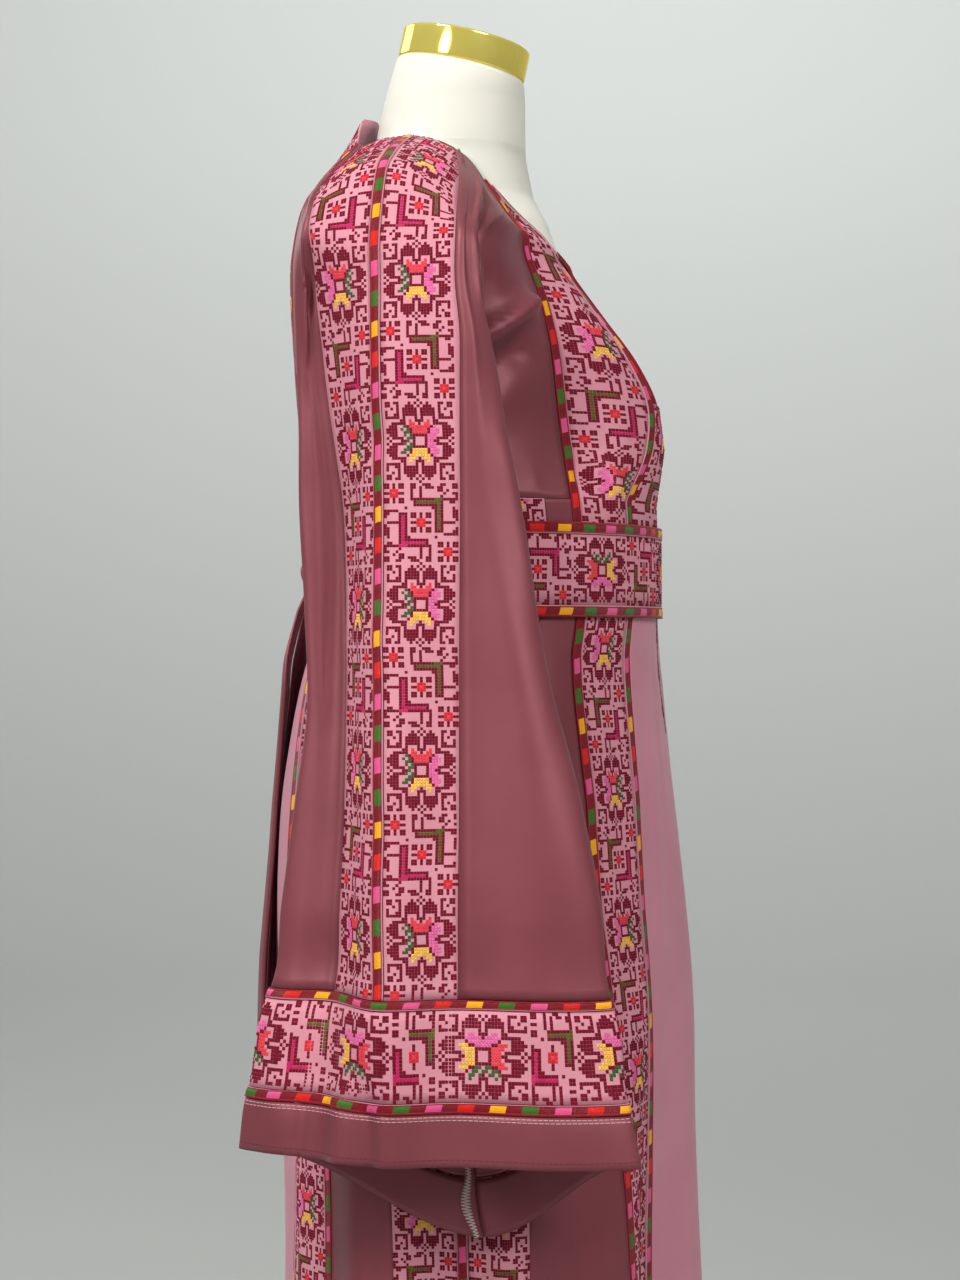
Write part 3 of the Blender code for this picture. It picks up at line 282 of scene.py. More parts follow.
UNDERARM_DROP = 0.060   # the sleeve's under-seam hangs this much lower than its outer side
SLEEVE_TOP, SLEEVE_HEM = 1.200, 0.688
CUFF_ROWS = (14, 15, 16, 17, 18)    # rows of the cuff's upper braid, band, lower braid and hem
WAIST_HEIGHT, WAIST_SEAM = 1.155, (.1530, .1325, .1410)     # half its width, and to front and back
UPPER_SLOPE_STEPS = 8   # fine rows between two sections of the tables
PER_SPAN = 12           # samples between two points of a section
SEAM_U, PIT_U, STRIP_FRONT_U, RIDGE_U, STRIP_BACK_U = 2, 5, 10, 11, 12
BACK_PIT_U, BACK_SEAM_U, BACK_EDGE_U, LAST_U = 16, 19, 21, 22
# Creases of the hanging cloth, in millimetres: width, rise, then section point and height of
# each point of its line.
UPPER_FOLDS = (
    # bodice: a rounded drape from the bust to the arm over a hollow, and puckers at the waist
    (8.5, 16, 4.6, 1250, 4.25, 1270, 3.75, 1285, 3, 1300, 2.45, 1298),
    (13, -12.8, 4.4, 1226, 3.83, 1252, 3.33, 1264, 2.8, 1270), (22, -3, 4.4, 1195, 3.6, 1210, 2.5, 1232),
    (3, 1.4, 2.9, 1186, 3, 1160), (2.8, 1.2, 3.4, 1180, 3.4, 1160), (3, -1.2, 2.5, 1182, 2.6, 1160),
    (3.5, 1.2, 3.9, 1184, 3.8, 1160),
    # a sharp pleat from the neck down to the arm, with a valley beside it
    (6, 4.4, 7.85, 1412, 7.75, 1375, 8, 1330, 8.25, 1285), (8, -5, 6.9, 1400, 6.8, 1365, 7, 1330),
    # front of the sleeve, long soft troughs and ridges
    (15, 1.4, 9.5, 1300, 9.3, 1230, 9.4, 1150), (15, 2.4, 8.7, 1210, 8.2, 1140, 8.1, 1060),
    (16, -3.6, 7.5, 1230, 7.3, 1150, 7.4, 1060, 7.7, 960),
    (17, 3, 9, 1120, 8.9, 1020, 8.6, 930, 8.1, 850), (15, -2, 9.4, 1060, 9.45, 980, 9.2, 880, 8.9, 810),
    (15, 4, 7.9, 1010, 7.5, 910, 7.2, 800, 7.1, 700), (17, -4.5, 6.6, 1060, 6.4, 940, 6.2, 830),
    (16, -2.6, 8.6, 840, 8.5, 780, 8.6, 690), (15, 4, 5.8, 960, 5.6, 840, 5.65, 700),
    # pleats and a seam in the cuff's hem, and a pinch where it is seamed under the arm
    (4.8, 5.6, 11.6, 750, 11.55, 700, 11.62, 610), (4.8, -6, 11.2, 750, 11.15, 700, 11.1, 610),
    (2.2, -2, 12.25, 750, 12.25, 610), (11, -7, 5, 760, 5, 690, 5, 600),
    (11, -7, 16, 760, 16, 690, 16, 600), (13, 5, 5.9, 760, 5.8, 690, 5.9, 610),
    (13, 4, 15.2, 760, 15.3, 690, 15.2, 610), (14, -3, 7.6, 760, 7.55, 700), (12, 3, 12.6, 770, 12.7, 690),
    # back of the sleeve, with a deep fold at the shoulder
    (6, -5, 12.05, 1352, 12.15, 1315, 12.55, 1280), (7, 4, 12.4, 1330, 12.7, 1295, 13.1, 1240),
    (10, -3.4, 12.7, 1300, 13.1, 1220, 13.3, 1120), (12, 3.6, 13.2, 1240, 13.5, 1120, 13.6, 980),
    (14, -3, 12.6, 1100, 12.9, 960, 13, 800), (15, 4, 14.2, 1040, 14.4, 900, 14.5, 780),
    (15, -3.8, 14.9, 980, 15, 860, 15.1, 760),
    # across the upper arm and the elbow, on the strips
    (14, -1.8, 10.2, 1205, 11, 1194, 11.8, 1198), (17, 1.5, 10.1, 1060, 11, 1048, 11.9, 1052),
    (19, -1.4, 10.2, 905, 11, 916, 11.9, 912), (12, 1.2, 10.4, 1320, 10.7, 1240, 10.6, 1160),
    # front strip, slanting down to the belt, and back bodice
    (6.5, 3.4, 1.7, 1196, 1, 1172, .6, 1150), (6, -2.6, 1.8, 1180, 1.2, 1158),
    (13, 2.4, 17.2, 1330, 18, 1290, 18.6, 1230), (11, 2.8, 17, 1265, 17.8, 1240, 18.4, 1195),
    (14, -1.8, 20.4, 1300, 20.3, 1240, 20.2, 1170),
)
FOLD_SPAN = 0.030       # one section point is about this wide


def smooth_step(value, start, end):
    """0 before start, 1 after end, and 3 s^2 - 2 s^3 between them."""
    share = np.clip((value - start) / (end - start), 0, 1)
    return share * share * (3 - 2 * share)


def shoulder_height(out, y):
    """The shoulder line, less a rounded drop to the front and the back and a dip at the neck."""
    away = y - SHOULDER_Y
    inner = smooth_step(out, 0.115, 0.055) * (away > 0)
    dip = NECK_DIP * smooth_step(out, 0.125, 0.085)
    dip = dip * smooth_step(y, 0.005, -0.025) * smooth_step(y, -0.060, -0.030)
    line = np.interp(out, *np.array(SHOULDER_LINE).T)
    return line - CHEST_ROUND * away ** 2 * (1 - inner) - BACK_ROUND * np.abs(away) ** 3 * inner - dip


def nape_rise(out, y):
    """The stand of the cloth along the back of the neck."""
    behind = smooth_step(y, 0.040, 0.080) * smooth_step(y, 0.1150, 0.0934)
    return NAPE_RISE * smooth_step(out, 0.070, 0.030) * behind


def through(points, per_span, closed=False):
    """A Catmull-Rom curve through points, with per_span samples from one to the next."""
    points = np.asarray(points, float)
    if closed:
        padded = np.vstack([points[-1:], points, points[:2]])
    else:
        padded = np.vstack([2 * points[0] - points[1], points, 2 * points[-1] - points[-2]])
    before, start, end, after = padded[:-3], padded[1:-2], padded[2:-1], padded[3:]
    share = (np.arange(per_span) / per_span)[:, None, None]
    curve = 0.5 * (2 * start + (end - before) * share
                   + (2 * before - 5 * start + 4 * end - after) * share ** 2
                   + (3 * start - 3 * end + after - before) * share ** 3)
    curve = curve.transpose(1, 0, 2).reshape(-1, points.shape[1])
    return curve if closed else np.vstack([curve, padded[-2:-1]])


def finer(rows, steps):
    """Rows joined down their columns by cubic Hermite curves, with steps samples to a span."""
    gap = np.linalg.norm(np.diff(rows, axis=0), axis=2).mean(axis=1)
    slope = np.gradient(rows, np.concatenate([[0.0], np.cumsum(gap)]), axis=0)
    share = (np.arange(steps) / steps)[None, :, None, None]
    start, end, gap = rows[:-1, None], rows[1:, None], gap[:, None, None, None]
    curve = ((2 * share ** 3 - 3 * share ** 2 + 1) * start + (3 * share ** 2 - 2 * share ** 3) * end
             + gap * (share ** 3 - 2 * share ** 2 + share) * slope[:-1, None]
             + gap * (share ** 3 - share ** 2) * slope[1:, None])
    return np.concatenate([curve.reshape(-1, *rows.shape[1:]), rows[-1:]])


def waist_point(out, back):
    """The point of the waist seam at this distance out, at the front or the back."""
    half, front, rear = WAIST_SEAM
    reach = (rear + front) / 2 * math.sqrt(max(0.0, 1 - (out / half) ** 2))
    return out, (rear - front) / 2 + (reach if back else -reach)


def upper_rows():
    """Each section of the shoulders, the bodice and the sleeve, from the neck edge to the back."""
    rows = []
    for front, ridge, back in zip(FRONT, RIDGE, BACK):
        flat = through(np.reshape([*front[1:], *ridge, *back], (-1, 2)) / 1000, PER_SPAN)
        if front[0] is None:
            height = shoulder_height(*flat.T) + nape_rise(*flat.T) + DRESS_OFF
        else:
            height = np.full(len(flat), front[0] / 1000)
        rows.append(np.column_stack([flat, height]))
    return np.array(rows)


def sleeve_rows():
    """Each closed section of the hanging sleeve, whose under-seam side hangs lower."""
    rows = []
    for height, *section in np.array(SLEEVE) / 1000:
        points = np.reshape(section, (-1, 2))
        flat = through(points, PER_SPAN, closed=True)
        flat = np.vstack([flat, flat[:1]])
        seam_y, nose, heel = points[[0, 3, 9], 1]
        number = np.arange(len(flat)) / PER_SPAN
        inner = (number < 3) | (number > 9)
        span = np.where(flat[:, 1] < seam_y, seam_y - nose, heel - seam_y)
        sag = np.cos(np.clip(np.abs(flat[:, 1] - seam_y) / span, 0, 1) * math.pi / 2) ** 2
        drop = UNDERARM_DROP * (SLEEVE_TOP - height) / (SLEEVE_TOP - SLEEVE_HEM)
        rows.append(np.column_stack([flat, height - drop * sag * inner]))
    return np.array(rows)


def bodice_row():
    """The bodice's lowest section, on the waist seam, as its front and its back."""
    front = [waist_point(out, False) for out in (.062, .090, .119, .137, .1485)]
    back = [waist_point(out, True) for out in (.149, .133, .108, .080, .048, 0)]
    flat = through([*front, (WAIST_SEAM[0] * 0.991, .030), *back], PER_SPAN)
    row = np.column_stack([flat, np.full(len(flat), WAIST_HEIGHT + 4 * SEAM)])
    corner = PIT_U * PER_SPAN
    return row[: corner + 1], row[corner:]


def outward(points, closed=False):
    """Unit normals of a grid, from the cross product of its steps along a row and down."""
    along = np.gradient(points, axis=1)
    if closed:
        along[:, 0] = along[:, -1] = points[:, 1] - points[:, -2]
    normal = np.cross(along, np.gradient(points, axis=0))
    return normal / np.maximum(np.linalg.norm(normal, axis=2, keepdims=True), 1e-12)


def lengths(points):
    """Metres along a line of points, or along each row of a grid, from its first point."""
    steps = np.linalg.norm(np.diff(points, axis=-2), axis=-1)
    return np.concatenate([0 * steps[..., :1], np.cumsum(steps, axis=-1)], axis=-1)


def creased(grid, normals, across, folds, span):
    """Each fold lifts the cloth by its rise, times the greatest along its line of
    exp(-(distance / width)^2), fading out at both ends. span is the width of one unit across."""
    shift = np.zeros(grid.shape[:2])
    place = across * span + 0 * shift
    for width, rise, *path in folds:
        width, rise, path = width / 1000, rise / 1000, np.reshape(path, (-1, 2)) * [span, 0.001]
        steps = lengths(path)[-1] * 4 / width
        line = through(path, int(steps / (len(path) - 1)) + 2)
        share = np.linspace(0, 1, len(line))
        ends = smooth_step(share, -0.05, 0.30) * smooth_step(share, 1.05, 0.70)
        near = np.abs(grid[:, :, 2].mean(axis=1) - path[:, 1].mean()) < np.ptp(path[:, 1]) / 2 + 3 * width
        away = ((place[near, :, None] - line[:, 0]) ** 2
                + (grid[near, :, 2, None] - line[:, 1]) ** 2) / width ** 2
        shift[near] += rise * (ends * np.exp(-away)).max(axis=2)
    return grid + shift[:, :, None] * normals


def join_edges(grids, shared):
    """Lays the bodice's edges under the arm on the sleeve's, down to the last row they share."""
    grids["front"][:shared, -1] = grids["sleeve"][:shared, 0]
    grids["back"][:shared, 0] = grids["sleeve"][:shared, -1]


def upper_regions():
    """Front bodice, sleeve and back bodice on the wearer's right, as fine grids with normals."""
    rows, (front_last, back_last) = upper_rows(), bodice_row()
    shared = (len(rows) - 1) * UPPER_SLOPE_STEPS + 1
    spans, grids = {}, {}
    for name, first, last, below in (("front", 0, PIT_U, front_last[None]),
                                     ("sleeve", PIT_U, BACK_PIT_U, sleeve_rows()),
                                     ("back", BACK_PIT_U, LAST_U, back_last[None])):
        spans[name] = slice(first * PER_SPAN, last * PER_SPAN + 1)
        whole = np.concatenate([rows[:, spans[name]], below]) * [-1, 1, 1]
        grids[name] = finer(whole, UPPER_SLOPE_STEPS)
    join_edges(grids, shared)
    over = outward(np.concatenate([grids["front"][:shared], grids["sleeve"][:shared, 1:-1],
                                   grids["back"][:shared]], axis=1))
    for name, span in spans.items():
        normals = outward(grids[name], closed=name == "sleeve")
        normals[:shared - 4] = over[:shared - 4, span]
        across = np.linspace(span.start, span.stop - 1, normals.shape[1]) / PER_SPAN
        grids[name] = creased(grids[name], normals, across[None], UPPER_FOLDS, FOLD_SPAN)
    join_edges(grids, shared)
    return {name: (grid, outward(grid, closed=name == "sleeve")) for name, grid in grids.items()}


def fall(points):
    """Metres down a grid's middle column."""
    return lengths(points[:, points.shape[1] // 2])


def cut_out(grids, along, first, last, columns):
    """Grids read at equal steps from first to last, which are metres along each of their rows."""
    where = np.linspace(first, last, columns + 1, axis=1)
    return [np.array([[np.interp(wanted, row, part) for part in line.T] for wanted, row, line
                      in zip(where, along, grid)]).transpose(0, 2, 1) for grid in grids]


def band(region, start, end, columns, rows=slice(None)):
    """A strip of a region, columns wide, between two edges: a section point and metres from it."""
    grids = [values[rows] for values in region]
    along = lengths(grids[0])
    first, last = (along[:, column] + metres for column, metres in (start, end))
    return cut_out(grids, along, first + SEAM, last - SEAM, columns)


def at(u, metres=0.0):
    """An edge at the section's point u, moved along the section by metres."""
    return int(u * PER_SPAN), metres


def on_side(side, points, normals, sway=1.0):
    """A grid and its normals, mirrored if they are for the wearer's left, where the hanging sleeve
    is also swayed back."""
    if side == "right":
        return points, normals
    back = LEFT_SWAY * smooth_step(points[..., 2:], 1.150, 0.800) * sway
    return points * [-1, 1, 1] + back * [0, 1, 0], normals * [-1, 1, 1]


def cloth_uv(points):
    """Metres across from the row's middle, and metres down the middle column."""
    across = lengths(points)
    return np.stack([across - across[:, -1:] / 2, fall(points)[:, None] + 0 * across], axis=-1)


def make_piece(name, points, faces, finish, slot, **data):
    """A new object that rides on the one body."""
    piece = new_object(name, points, faces, finish, **data)
    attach(piece, "root")
    return piece


def add_wall(piece, thickness, offset=-1):
    """Gives a piece's surface a wall, inwards if offset is -1."""
    wall = piece.modifiers.new("wall", "SOLIDIFY")
    wall.thickness, wall.offset = thickness, offset
    return wall


def sew(node, grids, finish, slot, turned, uvs=None, paint=None,
        wall=CLOTH, weld=False, lining=None):
    """A cloth piece in place of its node: its grids in one mesh, walled inwards.
    A lining is the finish of the wall's inner face."""
    counts = np.cumsum([0] + [grid[..., 0].size for grid in grids])
    faces = [grid_faces(*grid.shape[:2], turned) + count for grid, count in zip(grids, counts)]
    uvs = uvs or [cloth_uv(grid) for grid in grids]
    piece = make_piece(node + "_cloth", np.vstack([grid.reshape(-1, 3) for grid in grids]),
                       np.vstack(faces), finish, slot, paint=paint, weld=weld or len(grids) > 1,
                       uv=np.vstack([uv.reshape(-1, 2) for uv in uvs]))
    walled = add_wall(piece, wall)
    if lining:
        piece.data.materials.append(lining)
        walled.material_offset = 1
    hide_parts(node)
    return piece


# --- Satin of the bodice and sleeves ----------------------------------------------------------
# Mauve satin, cut in one from the bodice's side to the sleeve's strip, front and back. It is
# seamed to the strips, and its two halves meet in the sleeve's under-seam and at the side.


def add_math(tree, operation, *values):
    """A math node of sockets or numbers."""
    return add_node(tree, "Math", enumerate(values), operation=operation)[0]


def add_bump(tree, shader, height, distance):
    """A bump node from a height socket to the shader's normal."""
    bump = add_node(tree, "Bump", {"Height": height, "Distance": distance, "Strength": 1.0})
    tree.links.new(bump["Normal"], shader.inputs["Normal"])


def own_uv(tree):
    """The cloth's own UV: metres across and down, or from 0 to 1 on a stitch."""
    return add_node(tree, "UVMap", uv_map="cloth")[0]


def weave_group():
    """A fine plain weave from the cloth's own UV: two crossed waves, and a soft unevenness."""
    made = bpy.data.node_groups.new("weave", "ShaderNodeTree")
    for name, way in (("Threads", "INPUT"), ("Unevenness", "INPUT"), ("Height", "OUTPUT"),
                      ("Tone", "OUTPUT")):
        made.interface.new_socket(name, in_out=way, socket_type="NodeSocketFloat")
    given, result = (made.nodes.new("NodeGroup" + kind) for kind in ("Input", "Output"))
    scaled = add_node(made, "VectorMath", {0: own_uv(made), "Scale": given.outputs["Threads"]},
                      operation="SCALE")[0]
    u, v, _ = add_node(made, "SeparateXYZ", {0: scaled})
    crossed = add_math(made, "MULTIPLY", add_math(made, "SINE", u), add_math(made, "SINE", v))
    uneven = add_node(made, "TexNoise", {"Vector": add_node(made, "TexCoord")["Object"], "Detail": 4,
                                         "Scale": given.outputs["Unevenness"]})
    made.links.new(crossed, result.inputs["Height"])
    made.links.new(uneven["Fac"], result.inputs["Tone"])
    return made


def woven_material(name, dark, light, roughness, threads, weave_mm, pucker_mm, unevenness,
                   **constant):
    """Cloth whose tone drifts between two colours. Its bump is a fine weave and soft puckers."""
    made, tree, shader = new_material(name, dark, roughness, **constant)
    cloth_weave = add_node(tree, "Group", {"Threads": threads, "Unevenness": unevenness},
                           node_tree=weave)
    tone = cloth_weave["Tone"]
    tree.links.new(add_mix(tree, tone, colour_of(dark), colour_of(light)), shader.inputs["Base Color"])
    fine = add_math(tree, "MULTIPLY", cloth_weave["Height"], weave_mm)
    add_bump(tree, shader, add_math(tree, "MULTIPLY_ADD", tone, pucker_mm, fine), 0.001)
    return made


weave = weave_group()
satin = woven_material("satin", "6d3038", "83414a", 0.45, 11000.0, 0.012, 0.7, 15.0, Metallic=0.22,
                       Sheen_Weight=0.08, Sheen_Roughness=0.4, Specular_IOR_Level=0.35)
upper = upper_regions()
CUFF_TOP = CUFF_ROWS[0] * UPPER_SLOPE_STEPS + 1


def satin_grid(region, first, last, edge, beside):
    """A region from one section point to another, with one edge drawn in by half a seam's gap."""
    points = upper[region][0][:, first * PER_SPAN:last * PER_SPAN + 1:2].copy()
    inward = points[:, beside] - points[:, edge]
    points[:, edge] += SEAM * inward / np.linalg.norm(inward, axis=1, keepdims=True)
    return points


for side in ("right", "left"):
    for name, body, sleeve in (
            ("front_piece", satin_grid("front", SEAM_U, PIT_U, 0, 1),
             satin_grid("sleeve", 0, STRIP_FRONT_U - PIT_U, -1, -2)),
            ("back_piece", satin_grid("back", 0, BACK_SEAM_U - BACK_PIT_U, -1, -2),
             satin_grid("sleeve", STRIP_BACK_U - PIT_U, BACK_PIT_U - PIT_U, 0, 1))):
        grids = [body, sleeve[:CUFF_TOP]]
        uvs = [cloth_uv(grid) for grid in grids]
        grids = [on_side(side, grid, grid)[0] for grid in grids]
        sew(f"{name}_{side}", grids, satin, "satin", side == "left", uvs)

# --- Cross-stitched strips --------------------------------------------------------------------
# Light pink cloth worked all over in burgundy cross stitch, 25 stitches wide. A rosette with
# four two-lobed petals takes turns with a star between two hooks. The chart is the pattern's own.
QUARTER = (             # of a rosette, from its middle out to a corner; V and H are its petals
    "..bHHbb...b..", "..bHHHbbbb.b.", "bbbHHH..bbb..", "VVVbHHH.bbbb.", "VVVbHHH.bbbb.",
    "VVVVbH..bbb..", "b.VV.bbbbb...", "bb.V.bb......", ".b...b.bbbbb.", ".bbbbb.bb..b.",
    ".bbbbb.b...b.", ".bbbbb.b.b...", "b.bbb..b..bb.", ".b.b...bb.bb.", "b............",
)
HOOKS = (               # the upper half, the other is the same turned half round
    "bb.b.bb..bb..bbb...bb..bb", "bb.b.bb..bb.b.bbb.bb...bb", "..sss....b..b.....bb.b...",
    "bbsrsbb..b..b.......b..bb", "..sss....b..b......b....b", "bb.b.bb..bbbbbbbbooobbbbb",
    "bb.b.bb...boooooooob..bb.", "..........bbbbbbbbob.....", ".......b........bbob...b.",
    "bbbbb............bob...bb", "bb...bbb.bb.b.bb.bob...bb", "b....bmb.bb.b.bb.bob...bb",
    ".....bmb...sss...bob....b", ".bbbbbmb.bbsrsbb.bobbbbb.",
)
WIDE, ROSETTE_REACH = 25, 14        # columns of the repeat, and rows from a rosette's middle to its tip
THREADS = {"b": "6c0420", "r": "d43c48", "g": "2f5a30", "p": "d4649a", "y": "e0b04c",
           "o": "54561e", "m": "b8205c", "s": "c8242c"}
STITCH_RISE, STITCH_EDGE = 0.00055, 0.00012     # a stitch's middle and its edges, off the cloth
STITCH_SLACK = 0.0004   # a strip may be this much too narrow, or too long, for its last stitches


def chart():
    """The repeat as a grid of letters: 29 rows of rosette, then 27 rows of hooks."""
    side, reach = WIDE // 2, ROSETTE_REACH
    rosette = np.array([[QUARTER[abs(down)][abs(out)] for out in range(-side, side + 1)]
                        for down in range(-reach, reach + 1)])
    down, out = np.mgrid[-reach:reach + 1, -side:side + 1]
    rosette[(rosette == "V") & (down < 0)] = "r"
    rosette[rosette == "V"] = "y"
    rosette[(rosette == "H") & (out > 0)] = "p"
    rosette[(rosette == "H") & ((down + out) % 3 == 0)] = "."
    rosette[rosette == "H"] = "g"
    half = [list(row) for row in HOOKS]
    swap = {"o": "m", "m": "o"}
    other = [[swap.get(letter, letter) for letter in row[::-1]] for row in half[-2::-1]]
    return np.vstack([rosette, half, other])


def between(values, row, column):
    """A grid read between its rows and columns, by weights of the four points around."""
    rows, columns = values.shape[:2]
    top = np.clip(row.astype(int), 0, rows - 2)
    left = np.clip(column.astype(int), 0, columns - 2)
    down, across = (row - top)[..., None], (column - left)[..., None]
    return ((values[top, left] * (1 - across) + values[top, left + 1] * across) * (1 - down)
            + (values[top + 1, left] * (1 - across) + values[top + 1, left + 1] * across) * down)


def cross_stitches(name, points, normals, first, pitch, across_pitch=None, from_end=False,
                   mirrored=False, flipped=False, turned=False, worked=None):
    """Stitches on a strip: each a low pyramid of four faces on the cloth, one for each letter.

    first is the distance down the strip of a rosette's middle, pitch the height of a stitch.
    Columns count from the strip's first edge, or its last with from_end; across_pitch None
    divides the width among them. mirrored swaps the pattern's sides, flipped its ends. worked is
    another chart than the strips' own."""
    worked = pattern if worked is None else worked
    down, columns = fall(points), worked.shape[1]
    count = int((down[-1] - STITCH_SLACK) / pitch)
    start = (down[-1] - count * pitch) / 2
    row, column = np.meshgrid(np.arange(count), np.arange(columns), indexing="ij")
    phase = np.round((row * pitch + start - first) / pitch).astype(int) + ROSETTE_REACH
    phase = 2 * ROSETTE_REACH - phase if flipped else phase
    letters = worked[phase % len(worked), columns - 1 - column if mirrored else column]
    wide = np.interp(start + (row + 0.5) * pitch, down, lengths(points)[:, -1])
    step = wide / columns if across_pitch is None else np.full(row.shape, across_pitch)
    kept = (letters != ".") & ((column + 1) * step <= wide + STITCH_SLACK)
    row, column, step, wide, letters = (part[kept][:, None]
                                        for part in (row, column, step, wide, letters))
    uv = np.array([(0, 0), (0, 1), (1, 1), (1, 0), (.5, .5)])
    reach = (uv - 0.5) * 0.94
    share = (column + 0.5 + reach[:, 1]) * step / wide
    place = (np.interp(start + (row + 0.5 + reach[:, 0]) * pitch, down, np.arange(len(down))),
             (1 - share if from_end else share) * (points.shape[1] - 1))
    rise = np.array([STITCH_EDGE] * 4 + [STITCH_RISE])[:, None]
    ends = between(points, *place) + rise * between(normals, *place)
    count = len(ends)
    order = np.array([(0, 1, 4), (1, 2, 4), (2, 3, 4), (3, 0, 4)])
    order = order[:, ::-1] if turned != from_end else order
    faces = (np.arange(count)[:, None, None] * 5 + order).reshape(-1, 3)
    palette = np.zeros((count, 4))
    for letter, code in THREADS.items():
        palette[letters[:, 0] == letter] = colour_of(code)
    palette[:, :3] *= np.random.default_rng(count).uniform(0.86, 1.10, count)[:, None]
    return make_piece(name, ends, faces, stitch_thread, "stitched", uv=np.tile(uv, (count, 1)),
                      paint=np.repeat(palette, 4, axis=0))


def add_thread_colour(tree, shader, shade, dark, light):
    """Colours a shader by each face's own thread, times a painted shade between two greys."""
    thread = add_node(tree, "Attribute", attribute_name="thread")["Color"]
    shaded = add_mix(tree, 1.0, thread, add_mix(tree, shade, dark, light), blend_type="MULTIPLY")
    tree.links.new(shaded, shader.inputs["Base Color"])


def stitch_material():
    """Cotton thread: two crossed legs from each stitch's own UV, coloured by its attribute, with painted
    shade between the legs and a painted highlight along their tops.
    """
    made, tree, shader = new_material("stitch_thread", "720c2c", 0.60, Sheen_Weight=0.02,
                                      Specular_IOR_Level=0.12)
    u, v, _ = add_node(tree, "SeparateXYZ", {0: own_uv(tree)})
    legs = [add_math(tree, "MULTIPLY_ADD", add_math(tree, "ABSOLUTE", leg), -2.6, 1.0)
            for leg in (add_math(tree, "SUBTRACT", u, v),
                        add_math(tree, "SUBTRACT", add_math(tree, "ADD", u, v), 1.0))]
    height = add_math(tree, "MAXIMUM", add_math(tree, "MULTIPLY", legs[0], 0.8), legs[1])
    height = add_math(tree, "MAXIMUM", height, 0.0)
    twist = add_math(tree, "SINE", add_math(tree, "MULTIPLY", u, 32.0))
    add_bump(tree, shader, add_math(tree, "MULTIPLY_ADD", twist, 0.10, height), 0.00030)
    # painted shade and highlight: the thread is darkened in the gaps between its legs and lightened along
    # their tops
    add_thread_colour(tree, shader, add_math(tree, "MULTIPLY_ADD", height, 0.5, 0.62),
                      (0.25, 0.25, 0.25, 1), (1.25, 1.2, 1.2, 1))
    return made


strip_cloth = woven_material("strip_cloth", "c27c8a", "d08e9c", 0.75, 7400.0, 0.05, 0.5, 20.0,
                             Sheen_Weight=0.05, Specular_IOR_Level=0.25)
stitch_thread = stitch_material()
pattern = chart()


def stitched_strip(node, side, points, normals, first, pitch, rests_on, sway=1.0, **layout):
    """A strip of ground cloth and its stitches, on the wearer's right or mirrored to the left."""
    uv, turned, name = cloth_uv(points), side == "left", f"{node}_{side}"
    points, normals = on_side(side, points, normals, sway)
    worked = cross_stitches(name + "_stitches", points, normals, first, pitch, turned=turned, **layout)
    return sew(name, [points], strip_cloth, "stitched", turned, [uv],
               lining=satin)


ridge = (RIDGE_U - PIT_U) * PER_SPAN
to_cuff = slice(0, CUFF_TOP)
SLEEVE_PITCH, SLEEVE_ACROSS = 0.00210, 0.00213
LAST_ROSETTE = 0.0424   # from the middle of a sleeve's lowest rosette to the cuff
UNDER_BELT, SKIRT_THERE = 1.1315, (.1507, .1333, .1323)     # height, and the skirt's section at it


def reaching_belt(region):
    """The bodice's front up to its side seam, carried on down an elliptical section to the belt."""
    grid = region[0][:, :SEAM_U * PER_SPAN + 1]
    half, front, rear = SKIRT_THERE
    out = -grid[-1, :, 0] * half / WAIST_SEAM[0]
    y = (rear - front) / 2 - (rear + front) / 2 * np.sqrt(1 - (out / half) ** 2)
    low = np.column_stack([-out, y, np.full(len(out), UNDER_BELT)])
    longer = np.concatenate([grid, grid[-1] + (low - grid[-1]) * np.linspace(0.25, 1, 4)[:, None, None]])
    return longer, outward(longer)


long_front = reaching_belt(upper["front"])
neck_braid_width = np.minimum(BRAID, 0.3 * lengths(long_front[0])[:, -1])
seam_column, edge_column = at(BACK_SEAM_U - BACK_PIT_U), at(BACK_EDGE_U - BACK_PIT_U)
bands = {
    "sleeve_front_strip": band(upper["sleeve"], at(STRIP_FRONT_U - PIT_U), (ridge, -BRAID / 2), 10, to_cuff),
    "sleeve_back_strip": band(upper["sleeve"], (ridge, BRAID / 2), at(STRIP_BACK_U - PIT_U), 10, to_cuff),
    "bodice_front_strip": band(long_front, at(0, neck_braid_width), at(SEAM_U, -neck_braid_width), 14),
    "bodice_back_strip": band(upper["back"], at(BACK_SEAM_U - BACK_PIT_U, BRAID), edge_column, 10),
}
widest = lengths(bands["bodice_front_strip"][0])[:, -1].max()
last_rosettes = {node: fall(points)[-1] - LAST_ROSETTE for node, (points, _) in bands.items()}
for side in ("right", "left"):
    for node, first, layout in (
            ("sleeve_front_strip", None, dict(across_pitch=SLEEVE_ACROSS, from_end=True)),
            ("sleeve_back_strip", None, dict(across_pitch=SLEEVE_ACROSS)),
            ("bodice_front_strip", 0.145, dict(across_pitch=widest / WIDE, from_end=True, mirrored=True)),
            ("bodice_back_strip", 0.100, dict(across_pitch=0.00213))):
        stitched_strip(node, side, *bands[node], first or last_rosettes[node], SLEEVE_PITCH,
                       ["form_body"], **layout)

# --- Braids -----------------------------------------------------------------------------------
# Burgundy silk braid, 9 mm wide: two fine cords with blocks of yellow, red, pink and green satin
# stitch between them, which lean a little. It covers the seams between strips and plain cloth.
BRAID_BLOCK, BRAID_LEAN = 0.01125, 0.0011   # a coloured block's length, and its lean at each side
BLOCKS = "YRPGPGYRPG"
SILKS = {"Y": "f0a808", "R": "d4180e", "P": "dc5088", "G": "346a16", "-": "78061a", "|": "8e0c20",
         "pale": "c68a98"}
BRAID_COLUMNS = 10      # two for each cord and six for the blocks
PUFF, BLOCK_PUFF, CORD_RISE = 0.00025, 0.00045, 0.00050


